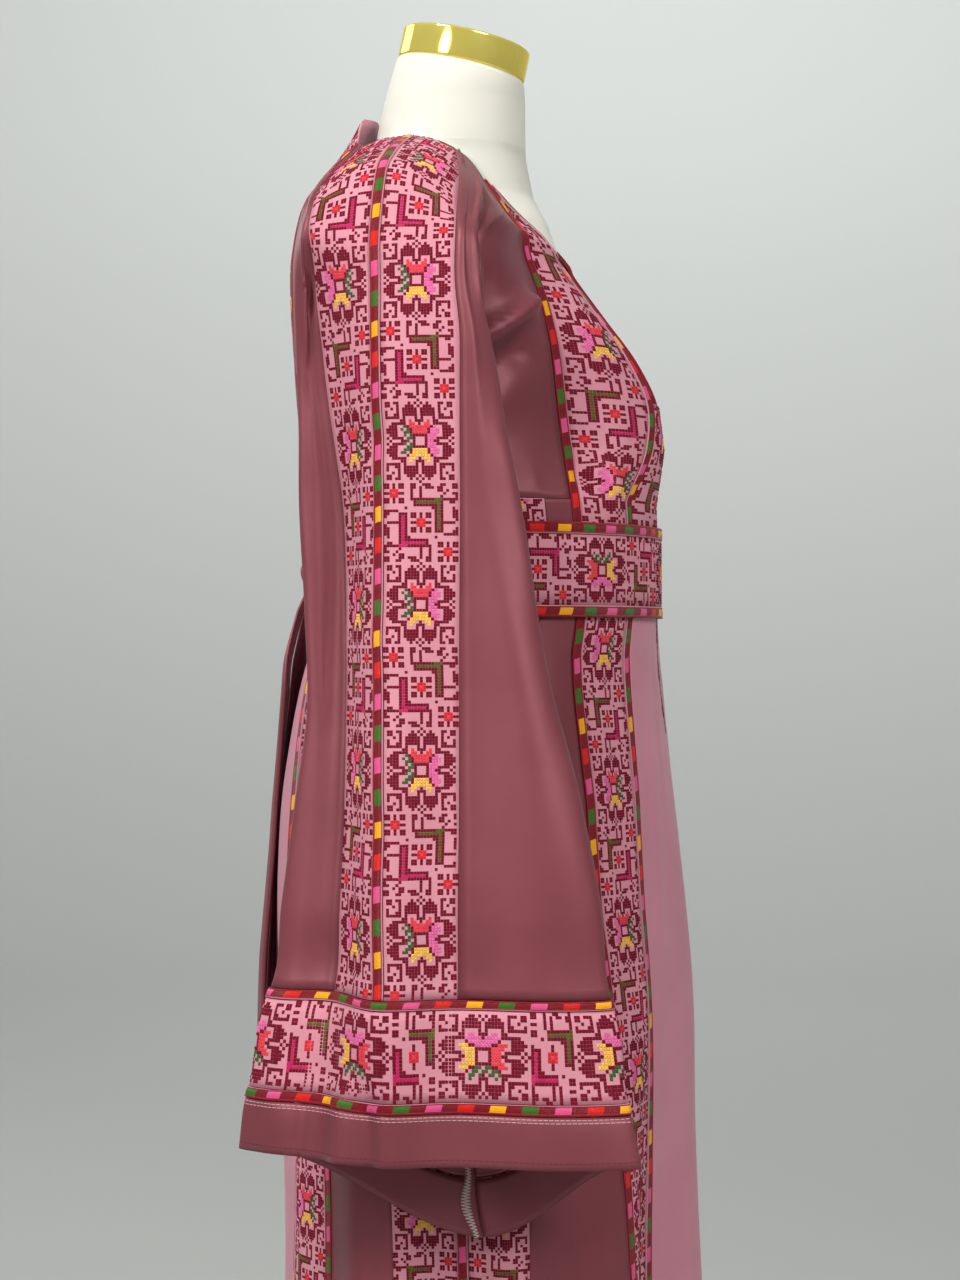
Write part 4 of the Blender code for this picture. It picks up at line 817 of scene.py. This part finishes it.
def braid_material():
    """Silk thread laid side by side across the braid: fine ridges down its UV, with a soft gloss, painted
    shade in the grooves between the threads and a painted highlight on their ridges.
    """
    made, tree, shader = new_material("braid_silk", "74081c", 0.38, Sheen_Weight=0.04,
                                      Specular_IOR_Level=0.26)
    surface = own_uv(tree)
    uneven = add_node(tree, "TexNoise", {"Vector": surface, "Scale": 420.0})["Fac"]
    along = add_math(tree, "MULTIPLY_ADD", uneven, 0.0012, add_node(tree, "SeparateXYZ", {0: surface})[1])
    threads = add_math(tree, "SINE", add_math(tree, "MULTIPLY", along, math.tau / 0.00075))
    add_bump(tree, shader, threads, 0.00010)
    # painted shade and highlight: each thread is darker in its grooves and lighter on its ridge, from the
    # same sine as the bump
    add_thread_colour(tree, shader, add_math(tree, "MULTIPLY_ADD", threads, 0.16, 0.84),
                      (0.1, 0.1, 0.1, 1), (1.1, 1.1, 1.1, 1))
    return made


braid_silk = braid_material()


def along_rows(points, normals, step, lean=0.0):
    """A strip read at equal steps down its middle column, each row slanted by lean to its sides."""
    down = fall(points)
    wanted = np.append(np.arange(0, down[-1] - step / 2, step), down[-1])
    slanted = wanted[:, None] + lean * np.linspace(-1, 1, points.shape[1])
    slanted[[0, -1]] = wanted[[0, -1], None]
    row = np.interp(np.clip(slanted, 0, down[-1]), down, np.arange(len(down)))
    column = np.arange(points.shape[1]) + 0 * row
    return between(points, row, column), between(normals, row, column), wanted


def dome(value):
    """Half a round: 1 at 0 and 0 at -1, at 1 and beyond."""
    return np.sqrt(np.clip(1 - value ** 2, 0, 1))


def braid(node, points, normals, first, turned=False, replaced=True, rests_on=("form_body",),
          pale=(False, False), blocks=BLOCKS):
    """A braid: half round cords along both edges, and between them blocks puffed by
    sqrt(1 - across^2) and again by a sine along each. first is where the first block starts, from
    the end if negative. pale gives the first or last column the colour of the strip's edge."""
    points, normals, down = along_rows(points, normals, BRAID_BLOCK / 4, BRAID_LEAN)
    first = down[-1] + first if first < 0 else first
    across = np.linspace(-1, 1, BRAID_COLUMNS + 1)[None, :, None]
    place = ((down - first) / BRAID_BLOCK)[:, None, None]
    block = np.floor(((down[:-1] + down[1:]) / 2 - first) / BRAID_BLOCK).astype(int)
    letters = np.array(list("".join(colour + "-" for colour in blocks)))[block % (2 * len(blocks))]
    filled = (np.append(letters != "-", False) | np.append(False, letters != "-"))[:, None, None]
    puff = PUFF + BLOCK_PUFF * np.abs(np.sin(math.pi * place)) ** 0.5 * filled
    rise = np.where(np.abs(across) > 0.59, CORD_RISE * dome((np.abs(across) - 0.8) / 0.2),
                    puff * dome(across / 0.6))
    uv = cloth_uv(points)
    points = points + (BRAID_RAISE + rise) * normals
    paint = np.array([colour_of(SILKS[letter]) for letter in letters])
    paint = np.repeat(paint[:, None], BRAID_COLUMNS, axis=1)
    paint[:, :2] = paint[:, -2:] = colour_of(SILKS["|"])
    for edge, wanted in zip((0, -1), pale):
        paint[:, edge] = colour_of(SILKS["pale"]) if wanted else paint[:, edge]
    paint = paint.reshape(-1, 4)
    if replaced:
        return sew(node, [points], braid_silk, "braid", turned, [uv], paint,
                   wall=CLOTH + BRAID_RAISE, lining=satin)
    piece = make_piece(node, points, grid_faces(*points.shape[:2], turned), braid_silk, "braid",
                       uv=uv, paint=paint)
    add_wall(piece, CLOTH)
    return piece


braids = {
    "neck_braid": (band(long_front, at(0), at(0, neck_braid_width), BRAID_COLUMNS),
                   -0.2890, (False, True), "GPYGPYRPG"),
    "bodice_front_braid": (band(long_front, at(SEAM_U, -neck_braid_width), at(SEAM_U), BRAID_COLUMNS),
                           -0.2776, (True, False), "YRPGYRPGPGYR"),
    "sleeve_braid": (band(upper["sleeve"], (ridge, -BRAID / 2), (ridge, BRAID / 2), BRAID_COLUMNS,
                          to_cuff), 0.006, (True, True), BLOCKS),
    "bodice_back_braid": (band(upper["back"], seam_column, at(BACK_SEAM_U - BACK_PIT_U, BRAID),
                               BRAID_COLUMNS), 0.010, (False, True), BLOCKS),
}
for side in ("right", "left"):
    for node, (grids, first, pale, blocks) in braids.items():
        braid(f"{node}_{side}", *on_side(side, *grids), first, side == "left", pale=pale, blocks=blocks)

# --- Front insert and back of the neck --------------------------------------------------------
# The stitched insert closes the V between the two neck braids, and the light pink middle of the
# back runs up to stand along the nape.


def whole_width(points, normals):
    """A right half whose last column is on the centre line, joined to its mirror image."""
    points, normals = points.copy(), normals.copy()
    points[:, -1, 0] = normals[:, -1, 0] = 0
    return [np.concatenate([half, half[:, -2::-1] * [-1, 1, 1]], axis=1) for half in (points, normals)]


pink_cloth = woven_material("pink_satin", "b87688", "c88898", 0.44, 11000.0, 0.012, 0.8, 16.0,
                            Metallic=0.15, Sheen_Weight=0.08, Sheen_Roughness=0.4,
                            Specular_IOR_Level=0.35)
edge = long_front[0][(len(FRONT) - 2) * UPPER_SLOPE_STEPS:, 0, :, None]
middle_y = np.interp(np.arange(len(edge)), (0, UPPER_SLOPE_STEPS, 2 * UPPER_SLOPE_STEPS, len(edge) - 1),
                     (-.1350, -.1395, waist_point(0, False)[1], -SKIRT_THERE[1]))[:, None]
share = np.linspace(0, 1, 13)
x, y, z = edge[:, 0] * (1 - share), edge[:, 1], edge[:, 2] + 0 * share
x[:, 0] += 6 * SEAM
points = np.stack([x, y + (middle_y - y) * (1 - (1 - share) ** 2), z], axis=-1)
points = np.concatenate([points * [-1, 1, 1], points[:, -2::-1]], axis=1)
normals = outward(points)
normals *= -np.sign(normals[:, :, 1:2])
insert_stitches = cross_stitches("bodice_front_insert_stitches", points, normals, 0.02, SLEEVE_PITCH)
sew("bodice_front_insert", [points], strip_cloth, "stitched", False,
    lining=satin)
points, normals = whole_width(*band(upper["back"], edge_column, at(LAST_U - BACK_PIT_U, SEAM), 10))
sew("bodice_back_centre", [points], pink_cloth, "pink_cloth", False)

# --- Cuffs ------------------------------------------------------------------------------------
# A stitched band between two braids goes round each sleeve, and a plain satin hem below it, top
# stitched in a double row. Inside, the under-seam's allowance is overlocked in pale thread.
cuff_chart = pattern[np.r_[:29, 34:39, 41:44, 46:51]]
CUFF_PITCH = 0.00230
ALLOWANCE, ALLOWANCE_WAVE = 0.0100, 0.047   # the cloth inside the under-seam: depth, wave length
ALLOWANCE_WALL = 0.0009
OVERLOCK_STEP, OVERLOCK_WIDTH, OVERLOCK_COLUMNS = 0.0011, 0.0009, (2.2, 4.1)


def sewing_thread(code):
    """Matt sewing thread in one colour, its twist a fine wave along its own UV."""
    made, tree, shader = new_material("sewing_" + code, code, 0.65, Specular_IOR_Level=0.25)
    v = add_node(tree, "SeparateXYZ", {0: own_uv(tree)})[1]
    add_bump(tree, shader, add_math(tree, "SINE", add_math(tree, "MULTIPLY", v, 12.0)), 0.00006)
    return made


def threads(name, starts, ends, facing, width, finish):
    """Stitches from starts to ends, each a ridge of two slopes that stands on the cloth."""
    side = np.cross(ends - starts, facing)
    side *= width / 2 / np.maximum(np.linalg.norm(side, axis=1, keepdims=True), 1e-9)
    low, high = STITCH_EDGE * facing, (STITCH_EDGE + width * 0.45) * facing
    points = np.stack([starts - side + low, ends - side + low, starts + high, ends + high,
                       starts + side + low, ends + side + low], axis=1)
    faces = np.arange(len(starts))[:, None, None] * 6 + np.array([(0, 1, 3, 2), (2, 3, 5, 4)])
    uv = np.array([(0, 0), (0, 1), (.5, 0), (.5, 1), (1, 0), (1, 1)])
    return make_piece(name, points, faces.reshape(-1, 4)[:, ::-1], finish, "satin",
                      uv=np.tile(uv, (len(starts), 1)))


def running_stitches(points, normals, row, length, gap):
    """Starts, ends and normals of stitches along a grid's row, which may lie between two rows."""
    columns = np.arange(points.shape[1], dtype=float)
    along = lengths(between(points, row + 0 * columns, columns))
    start = np.arange(0, along[-1] - length, length + gap)
    places = [(grid, np.interp(start + share * length, along, columns))
              for grid, share in ((points, 0), (points, 1), (normals, 0.5))]
    return [between(grid, row + 0 * column, column) for grid, column in places]


def seam_allowance(name, base, inward, aside, turned):
    """Cloth left inside a seam: it leans aside and waves by a sine, and its edge is overlocked."""
    down, depth = lengths(base), np.linspace(0, 1, 5)[:, None]
    lean = (0.75 + 0.30 * np.sin(math.tau * down / ALLOWANCE_WAVE))[:, None, None]
    points = base[:, None] + ALLOWANCE * (depth * 0.62 * inward[:, None]
                                          + depth ** 1.4 * lean * aside[:, None])
    made = make_piece(name, points, grid_faces(*points.shape[:2], turned), satin, "satin",
                      uv=cloth_uv(points))
    add_wall(made, ALLOWANCE_WALL, 0)
    place = np.arange(0, down[-1], OVERLOCK_STEP)
    row = np.interp(place, down, np.arange(len(down)))
    column = np.where(np.arange(len(place)) % 2, *OVERLOCK_COLUMNS)
    zigzag, facing = between(points, row, column), between(outward(points), row, column)[:-1]
    both = np.vstack([facing, -facing])
    starts, ends = (np.vstack([part] * 2) + 0.0005 * both for part in (zigzag[:-1], zigzag[1:]))
    return [made, threads(name + "_overlock", starts, ends, both, OVERLOCK_WIDTH, overlock_thread)]


def cuff_rows(side, first, last):
    """The sleeve's grid and normals between two fine rows, on either side."""
    return on_side(side, *(part[first:last + 1] for part in upper["sleeve"]))


top_thread, hem_thread, overlock_thread = (sewing_thread(code) for code in ("c89aa0", "5a262e", "b4a4a0"))
for side in ("right", "left"):
    left = side == "left"
    for node, row in zip(("cuff_top_braid", "cuff_band", "cuff_lower_braid", "cuff_hem"), CUFF_ROWS):
        first = row * UPPER_SLOPE_STEPS
        points, normals = cuff_rows(side, first, first + UPPER_SLOPE_STEPS)
        points = points.copy()
        points[0, :, 2] -= 3 * SEAM
        across, facing = points.transpose(1, 0, 2), normals.transpose(1, 0, 2)
        if node == "cuff_band":
            worked = cross_stitches(f"{node}_{side}_stitches", across, facing, 0.045, CUFF_PITCH,
                                    turned=not left, mirrored=True, worked=cuff_chart)
            sew(f"{node}_{side}", [across[::2]], strip_cloth, "stitched", not left,
                lining=satin)
        elif node != "cuff_hem":
            top = node == "cuff_top_braid"
            place = np.meshgrid(np.arange(len(across), dtype=float),
                                np.linspace(0, across.shape[1] - 1, BRAID_COLUMNS + 1), indexing="ij")
            braid(f"{node}_{side}", between(across, *place), between(facing, *place), 0.004, not left,
                  rests_on=[f"front_piece_{side}", f"back_piece_{side}"], pale=(not top, top))
    # the hem comes last, and points and normals are its own
    rows = [running_stitches(points, normals, down, 0.0030, 0.0008) for down in (0.45, 1.0)]
    sewn = [threads(f"cuff_top_stitching_{side}", *map(np.vstack, zip(*rows)), 0.00055, top_thread),
            threads(f"cuff_hem_stitching_{side}", *running_stitches(points, normals, 6.9, 0.0028, 0.0012),
                    0.00045, hem_thread)]
    seam, facing = cuff_rows(side, CUFF_ROWS[0] * UPPER_SLOPE_STEPS + 2, CUFF_ROWS[-1] * UPPER_SLOPE_STEPS)
    aside = seam[:, -3] - seam[:, -1]
    aside /= np.linalg.norm(aside, axis=1, keepdims=True)
    sewn += seam_allowance(f"cuff_seam_allowance_{side}", seam[:, 0] - CLOTH * facing[:, 0],
                           -facing[:, 0], aside, left)
    sew(f"cuff_hem_{side}", [points], satin, "satin", left,
        weld=True)

# --- Skirt ------------------------------------------------------------------------------------
# Satin panels that flare from the waist seam to the hem, light pink at the middle of the front
# and back, with long stitched strips and braids let in between them.
SKIRT = (               # height, half the width, reach to the front and to the back, flutes
    (WAIST_HEIGHT, *WAIST_SEAM, .000),
    (1.125, .1500, .1335, .1300, .000),
    (1.075, .1515, .1335, .1300, .000),
    (1.035, .1580, .1345, .1440, .000),
    (0.960, .1700, .1410, .1590, .002),
    (0.880, .1820, .1480, .1670, .0045),
    (0.780, .1915, .1550, .1670, .007),
    (0.660, .2010, .1545, .1590, .010),
    (0.520, .2190, .1570, .1540, .014),
    (0.360, .2540, .1660, .1630, .018),
    (0.190, .2910, .1780, .1770, .021),
    (0.025, .3220, .1920, .1920, .023),
)
FLUTES = ((10, .62), (6, .38))      # waves round the skirt, and each one's share
STRIP = 0.047           # width of a skirt strip, 25 stitches
# The plain panels' shares of what the strips leave, on one side: height, then the front's centre
# and side and the back's side; the back's centre takes the rest.
PLAIN = (
    (1.155, .285, .120, .245),
    (1.040, .306, .150, .214),
    (0.930, .265, .190, .205),
    (0.845, .262, .205, .195),
    (0.640, .205, .255, .195),
    (0.025, .150, .310, .230),
)
# Creases of the skirt: width and rise in millimetres, then degrees round from the front and
# height of each point of the line.
SKIRT_FOLDS = (
    (14, 3, 14, 1050, 17, 850, 20, 640), (16, -3, 33, 1040, 36, 870, 38, 700),
    (20, 4.4, 58, 1040, 57, 800, 55, 560), (19, -5, 72, 1030, 76, 760, 80, 480),
    (20, 4.4, 92, 1050, 94, 830, 97, 600), (19, -4.8, 104, 1020, 107, 720, 109, 420),
    (17, 4, 124, 1050, 123, 850, 121, 660), (19, -4.4, 141, 1040, 144, 790, 147, 540),
    (17, 3.6, 160, 1040, 163, 820, 166, 600), (21, -5, 26, 720, 24, 460, 22, 200),
    (24, 5.6, 47, 640, 48, 380, 50, 120), (22, -5.2, 66, 600, 65, 340, 63, 80),
    (26, 5.8, 88, 560, 86, 340, 84, 120), (24, -5.6, 118, 540, 121, 300, 124, 60),
    (24, 5.4, 150, 560, 147, 330, 145, 100), (24, -5, 172, 520, 170, 290, 168, 60),
    (6, 1.6, 6, 1060, 9, 980, 8, 900), (6, -1.8, 44, 1066, 46, 1010),
    (8, 2.2, 84, 1066, 86, 1000, 85, 930), (7, -2, 112, 1066, 114, 980), (7, 2, 134, 1066, 133, 990),
    (7, -1.8, 154, 1066, 156, 970),
)
DEGREE = 0.0042         # one degree round is about this wide


def section_at(rows, height):
    """The other columns of a table, read at any height."""
    rows = np.array(sorted(rows))
    return [np.interp(height, rows[:, 0], column) for column in rows.T[1:]]


def skirt_ring(height, samples=361):
    """Half a skirt section, front to back: an ellipse of half axes by height, with cosine flutes."""
    half, front, rear, flute = section_at(SKIRT, height)
    middle, depth = (rear - front) / 2, (rear + front) / 2
    turn = np.linspace(0, math.pi, samples)
    wave = sum(share * np.cos(count * turn) for count, share in FLUTES) * flute
    return np.column_stack([-(half + wave) * np.sin(turn),
                            middle - (depth + wave) * np.cos(turn), np.full(samples, height)])


def skirt_edges(height, length):
    """Lengths along half of a skirt section at which one piece ends and the next starts."""
    rest = length - 5 * BRAID - 4 * STRIP
    centre_front, side_front, side_back = (share * rest for share in section_at(PLAIN, height))
    widths = (centre_front, BRAID, STRIP, BRAID, side_front, STRIP, BRAID, STRIP, side_back,
              BRAID, STRIP, BRAID)
    return np.concatenate([[0.0], np.cumsum(widths), [length]])


skirt = finer(np.array([skirt_ring(row[0]) for row in SKIRT]), 10)
skirt = creased(skirt, outward(skirt), np.linspace(0, 180, skirt.shape[1])[None], SKIRT_FOLDS, DEGREE)
skirt_normals = outward(skirt)
skirt_normals[:, [0, -1], 0] = 0
skirt_lengths = lengths(skirt)
skirt_cuts = np.array([skirt_edges(row[0, 2], along[-1]) for row, along in zip(skirt, skirt_lengths)])


def skirt_band(number, at_first, at_last, columns, rows=slice(None)):
    """A piece of the skirt, by its number from the front, with seam gaps at its edges or not."""
    first, last = skirt_cuts[rows, number] + at_first, skirt_cuts[rows, number + 1] - at_last
    return cut_out((skirt[rows], skirt_normals[rows]), skirt_lengths[rows], first, last, columns)


SKIRT_PITCH = 0.00189
all_rows = slice(None)
under_belt = slice(int(np.argmax(skirt[:, 0, 2] < UNDER_BELT)), None)
for number, (node, rows, finish) in enumerate((     # a braid's pale edges, a strip's layout, or satin
        ("skirt_front_inner_braid", under_belt, (False, True)),
        ("skirt_front_strip", under_belt, dict(first=0.088)),
        ("skirt_front_outer_braid", under_belt, (True, False)),
        ("skirt_side_front", all_rows, satin),
        ("skirt_side_strip_front", all_rows, dict(first=0.098, mirrored=True)),
        ("skirt_side_braid", all_rows, (True, True)),
        ("skirt_side_strip_back", all_rows, dict(first=0.098)),
        ("skirt_side_back", all_rows, satin),
        ("skirt_back_outer_braid", all_rows, (False, True)),
        ("skirt_back_strip", all_rows, dict(first=0.112)),
        ("skirt_back_inner_braid", all_rows, (True, False))), start=1):
    columns = {tuple: BRAID_COLUMNS, dict: 8}.get(type(finish), 20)
    grids = skirt_band(number, SEAM, SEAM, columns, rows)
    for side in ("right", "left"):
        turned, swayed = side == "left", on_side(side, *grids, sway=0.0)
        if isinstance(finish, dict):
            stitched_strip(node, side, *grids, pitch=SKIRT_PITCH, rests_on=["belt_cloth"],
                           sway=0.0, **finish)
        elif isinstance(finish, tuple):
            braid(f"{node}_{side}", *swayed, 0.006, turned, rests_on=["belt_cloth"], pale=finish)
        else:
            sew(f"{node}_{side}", swayed[:1], finish, "satin", turned)
centre_back = whole_width(*skirt_band(len(skirt_cuts[0]) - 2, SEAM, 0, 16))[0]
sew("skirt_back_centre", [centre_back], pink_cloth, "pink_cloth", False)
half = whole_width(*(part[:, ::-1] for part in skirt_band(0, 0, SEAM, 16, under_belt)))
centre_front, centre_normals = (part[:, ::-1] for part in half)
TREE = ("...b...", "..bbb..", "...b...", "..bbb..", ".bb.bb.", "..bbb..", ".bb.bb.", "bb.b.bb",
        ".bbbbb.", "bb.b.bb", ".bbbbb.", "...b...", "..bbb..", "...b...")
TREES_AT, TREES_LONG = 0.058, 0.105     # the worked trees, from the panel's top and down it
middle, down = centre_front.shape[1] // 2, fall(centre_front)
tree_rows = (down > TREES_AT) & (down < TREES_AT + TREES_LONG)
tree_strip = [np.stack([(1 - share) * grid[tree_rows, middle] + share * grid[tree_rows, middle + step]
                        for step, share in ((-1, 0.9), (1, 0.0), (1, 0.9))], axis=1)
              for grid in (centre_front, centre_normals)]
trees = cross_stitches("skirt_front_trees", *tree_strip, 0.0, 0.0021, turned=True,
                       worked=np.array([list(row) for row in TREE]))
sew("skirt_front_centre", [centre_front], pink_cloth, "pink_cloth", False)

# --- Belt -------------------------------------------------------------------------------------
# A stitched band with a braid along each edge goes round the waist, and ties behind in a knot
# with two satin tails.
BELT_TOP, BELT_BOTTOM, BELT_OFF, BELT_WALL = 1.138, 1.067, 0.0012, 0.0018


def belt_ring(top, bottom, columns):
    """A closed band round the waist, as rows that go round and columns down, with its normals."""
    halves = [skirt_ring(height, 121) for height in np.linspace(top, bottom, columns + 1)]
    points = np.stack([np.vstack([half, (half * [-1, 1, 1])[-2::-1]]) for half in halves], axis=1)
    away = np.roll(points[:-1], -1, axis=0) - np.roll(points[:-1], 1, axis=0)
    normals = np.stack([away[..., 1], -away[..., 0], 0 * away[..., 0]], axis=-1)
    normals *= np.sign((normals * points[:-1]).sum(axis=-1, keepdims=True))
    normals /= np.linalg.norm(normals, axis=-1, keepdims=True)
    normals = np.concatenate([normals, normals[:1]])
    return points + (BELT_OFF + BELT_WALL) * normals, normals


belt_band = belt_ring(BELT_TOP - BRAID, BELT_BOTTOM + BRAID, 4)
on_belt = [cross_stitches("belt_stitches", *belt_band, 0.107, 0.00205, turned=True, flipped=True)]
for name, top, pale in (("belt_top_braid", BELT_TOP, (False, True)),
                        ("belt_lower_braid", BELT_BOTTOM + BRAID, (True, False))):
    on_belt.append(braid(name, *belt_ring(top, top - BRAID, BRAID_COLUMNS), 0.004, True,
                         replaced=False, pale=pale))
sew("belt", belt_band[:1], strip_cloth, "stitched", True,
    wall=BELT_WALL, lining=satin)

# --- Belt's tie -------------------------------------------------------------------------------
# A satin knot on the belt at the back, pressed round it, and two tails that hang from it over
# the skirt.
KNOT = (0.024, 0.0095, 0.018)       # half its width, depth and height
TIE_LENGTH, TIE_WIDTH, TIE_WALL, TIE_ROUND = 0.370, 0.044, 0.0024, 4.0
TIE = ((1.100, .1440), (1.075, .1545), (1.034, .1634), (1.000, .1665), (0.920, .1749),
       (0.800, .1834), (0.720, .1860))     # height and y of the tails
knot_z = (BELT_TOP + BELT_BOTTOM) / 2


def belt_tail(side, length):
    """A satin tail, narrow at the knot, and rippled by a sine across and down its length."""
    down, share = np.linspace(0, 1, 61)[:, None], np.linspace(0, 1, 13)[None]
    width = TIE_WIDTH * (0.30 + 0.70 * smooth_step(down, 0, 0.25))
    height = knot_z - 0.004 - length * down + 0 * share
    out = 0.0015 + share * width
    y = section_at(TIE, height)[0] - TIE_ROUND * out ** 2 - side * 0.0010 * np.sin(down * 9)
    y = y + 0.0016 * np.sin(share * 9 + down * 2) * smooth_step(down, 0, 0.2)
    return np.stack([side * out, y, height], axis=-1)[:, ::side]


knot_y = skirt_ring(knot_z, 3)[-1, 1] + BELT_OFF + BELT_WALL + KNOT[1] + 0.0011
turn, rise = np.meshgrid(np.linspace(0, math.tau, 49), np.linspace(math.pi / 2, -math.pi / 2, 25))
swell = (1 + 0.10 * np.sin(3 * turn + 4 * rise) * np.cos(rise)
         + 0.05 * np.sin(9 * turn) * np.cos(rise)) * np.cos(rise)
knot_points = np.stack([KNOT[0] * np.cos(turn) * swell, KNOT[1] * np.sin(turn) * swell + knot_y,
                        KNOT[2] * np.sin(rise) + knot_z], axis=-1)
knot = make_piece("belt_knot", knot_points, grid_faces(25, 49, True), satin, "satin",
                  uv=cloth_uv(knot_points), weld=True)
sew("belt_tie", [belt_tail(-1, TIE_LENGTH), belt_tail(1, TIE_LENGTH - 0.035)], satin, "satin", False,
    wall=TIE_WALL)

# --- Dress form -------------------------------------------------------------------------------
# A padded body and neck covered in off-white linen, a polished brass cap on the neck, and a
# brass pole on a round foot.
TORSO = (               # height, half the width, reach to the front and to the back, squareness
    (0.850, .118, .060, .085, 2.0),
    (0.858, .136, .076, .104, 2.1),
    (0.900, .148, .088, .118, 2.2),
    (0.960, .148, .090, .122, 2.2),
    (1.040, .136, .082, .108, 2.2),
    (1.110, .120, .074, .090, 2.2),
    (1.160, .126, .078, .100, 2.1),
    (1.220, .136, .086, .120, 2.1),
    (1.270, .142, .080, .130, 2.1),
    (1.310, .147, .064, .134, 2.1),
    (1.345, .160, .048, .135, 2.2),
)
NECK = (
    (1.310, .048, .0640, .100, 2),
    (1.345, .050, .0580, .100, 2),
    (1.362, .053, .0530, .100, 2),
    (1.383, .055, .0455, .100, 2),
    (1.402, .056, .0350, .099, 2),
    (1.434, .055, .0285, .096, 2),
    (1.450, .055, .0280, .092, 2),
    (1.480, .054, .028, .085, 2),
    (1.510, .053, .028, .077, 2),
)
AXIS_Y = 0.045          # the form's sections are read outwards from here, an eighth of a
FORM_REACH = np.linspace(0, 0.26, 2081)     # millimetre at a time
CAP_Y, CAP_Z, CAP_HEIGHT, CAP_TILT, CAP_RADIUS = 0.0210, 1.5180, 0.0245, math.radians(12), 0.0515
FOOT_RADIUS, POLE_RADIUS = 0.150, 0.0125


def within(rows, height, out, y):
    """Whether points lie inside a table's section at a height: an ellipse, or a raised power."""
    half, front, back, square = section_at(rows, height)
    middle, depth = (back - front) / 2, (back + front) / 2
    return (out / half) ** square + (np.abs(y - middle) / depth) ** square <= 1


def torso_section(height, turn):
    """One section of the form: the farthest point in each direction that the trunk, shoulders
    or neck reach, each an ellipse or a raised power of one."""
    reach = FORM_REACH[:, None]
    aim_out, aim_y = np.cos(turn), np.sin(turn)
    out, y = np.abs(reach * aim_out), AXIS_Y + reach * aim_y
    inside = within(NECK, height, out, y) & (height > NECK[0][0] - 0.02)
    if height > TORSO[-1][0]:
        ease = smooth_step(height, 1.405, 1.362)
        wider = out * (1 + 0.075 * ease)
        deeper = SHOULDER_Y + (y - SHOULDER_Y) * (1.05 + 0.11 * ease)
        inside |= (shoulder_height(wider, deeper) >= height) & (wider <= SHOULDER_LINE[-1][0])
    else:
        inside |= within(TORSO, height, out, y)
    far = reach[len(reach) - 1 - np.argmax(inside[::-1], axis=0), 0]
    return np.column_stack([far * aim_out, AXIS_Y + far * aim_y, np.full(len(turn), height)])


def tilted(points):
    """Points about the cap's middle, leant forwards and moved to the top of the neck."""
    x, y, z = np.moveaxis(points, -1, 0)
    lean, rise = math.sin(CAP_TILT), math.cos(CAP_TILT)
    return np.stack([x, CAP_Y + y * rise - z * lean, CAP_Z + y * lean + z * rise], axis=-1)


def turned_piece(node, name, points, finish, slot, **data):
    """A closed form in place of its node, from rings of points, the top one first."""
    piece = make_piece(name, points, grid_faces(*points.shape[:2], True), finish, slot, weld=True, **data)
    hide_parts(node)


turn = np.linspace(0, math.tau, 129)
torso_heights = np.concatenate([np.linspace(0.850, 0.858, 3), np.linspace(0.868, 1.345, 40),
                                np.linspace(1.350, 1.4365, 26), np.linspace(1.441, 1.478, 7)])
underside = turned_shape([(0.0001, TORSO[0][0])], 129) + [0, AXIS_Y, 0]
under_cap = turned_shape([(CAP_RADIUS + 0.001, -CAP_HEIGHT / 2 - 0.0033),
                          (CAP_RADIUS - 0.0005, -CAP_HEIGHT / 2 - 0.0003),
                          (CAP_RADIUS * 0.5, -CAP_HEIGHT / 2 - 0.0003),
                          (0.0001, -CAP_HEIGHT / 2 - 0.0003)], 129)
body = np.concatenate([underside, [torso_section(height, turn) for height in torso_heights],
                       tilted(under_cap)])[::-1]
linen = woven_material("form_linen", "d2d1c6", "dedcd1", 0.85, 6000.0, 0.06, 0.3, 26.0, Sheen_Weight=0.1)
turned_piece("form_body", "form_body_linen", body, linen, "form_linen", uv=cloth_uv(body))


def brass_material():
    """Polished brass: a warm mirror, with faint smears that roughen it here and there."""
    made, tree, shader = new_material("polished_brass", "f8e474", 0.10, metallic=0.72,
                                      Specular_Tint=(1.0, 0.86, 0.40, 1))
    smears = add_node(tree, "TexNoise", {"Vector": add_node(tree, "TexCoord")["Object"],
                                         "Scale": 38.0, "Detail": 5})["Fac"]
    tree.links.new(add_math(tree, "MULTIPLY_ADD", smears, 0.14, 0.03), shader.inputs["Roughness"])
    tree.links.new(add_mix(tree, smears, colour_of("f2dc60"), colour_of("fdee84")),
                   shader.inputs["Base Color"])
    return made


def rounded(radius, low, high, edge):
    """A disc's profile whose two rims are rounded by a quarter circle."""
    bend = np.linspace(0, math.pi / 2, 7)
    lower = zip(radius - edge + edge * np.sin(bend), low + edge - edge * np.cos(bend))
    higher = zip(radius - edge + edge * np.cos(bend), high - edge + edge * np.sin(bend))
    return [(0.0001, low), *lower, *higher, (0.0001, high)]


brass = brass_material()
cap = tilted(turned_shape(rounded(CAP_RADIUS, -CAP_HEIGHT / 2, CAP_HEIGHT / 2, 0.002)))
turned_piece("form_cap", "form_cap_brass", cap[::-1], brass, "gold")
stand = turned_shape([
    (0.0001, 0.0), (FOOT_RADIUS - 0.003, 0.0), (FOOT_RADIUS, 0.003), (FOOT_RADIUS, 0.008),
    (FOOT_RADIUS - 0.006, 0.012), (POLE_RADIUS + 0.020, 0.020), (POLE_RADIUS + 0.012, 0.050),
    (POLE_RADIUS, 0.058), (POLE_RADIUS, 0.8497), (0.0001, 0.8497)])
turned_piece("form_stand", "form_stand_brass", stand[::-1], brass, "gold")
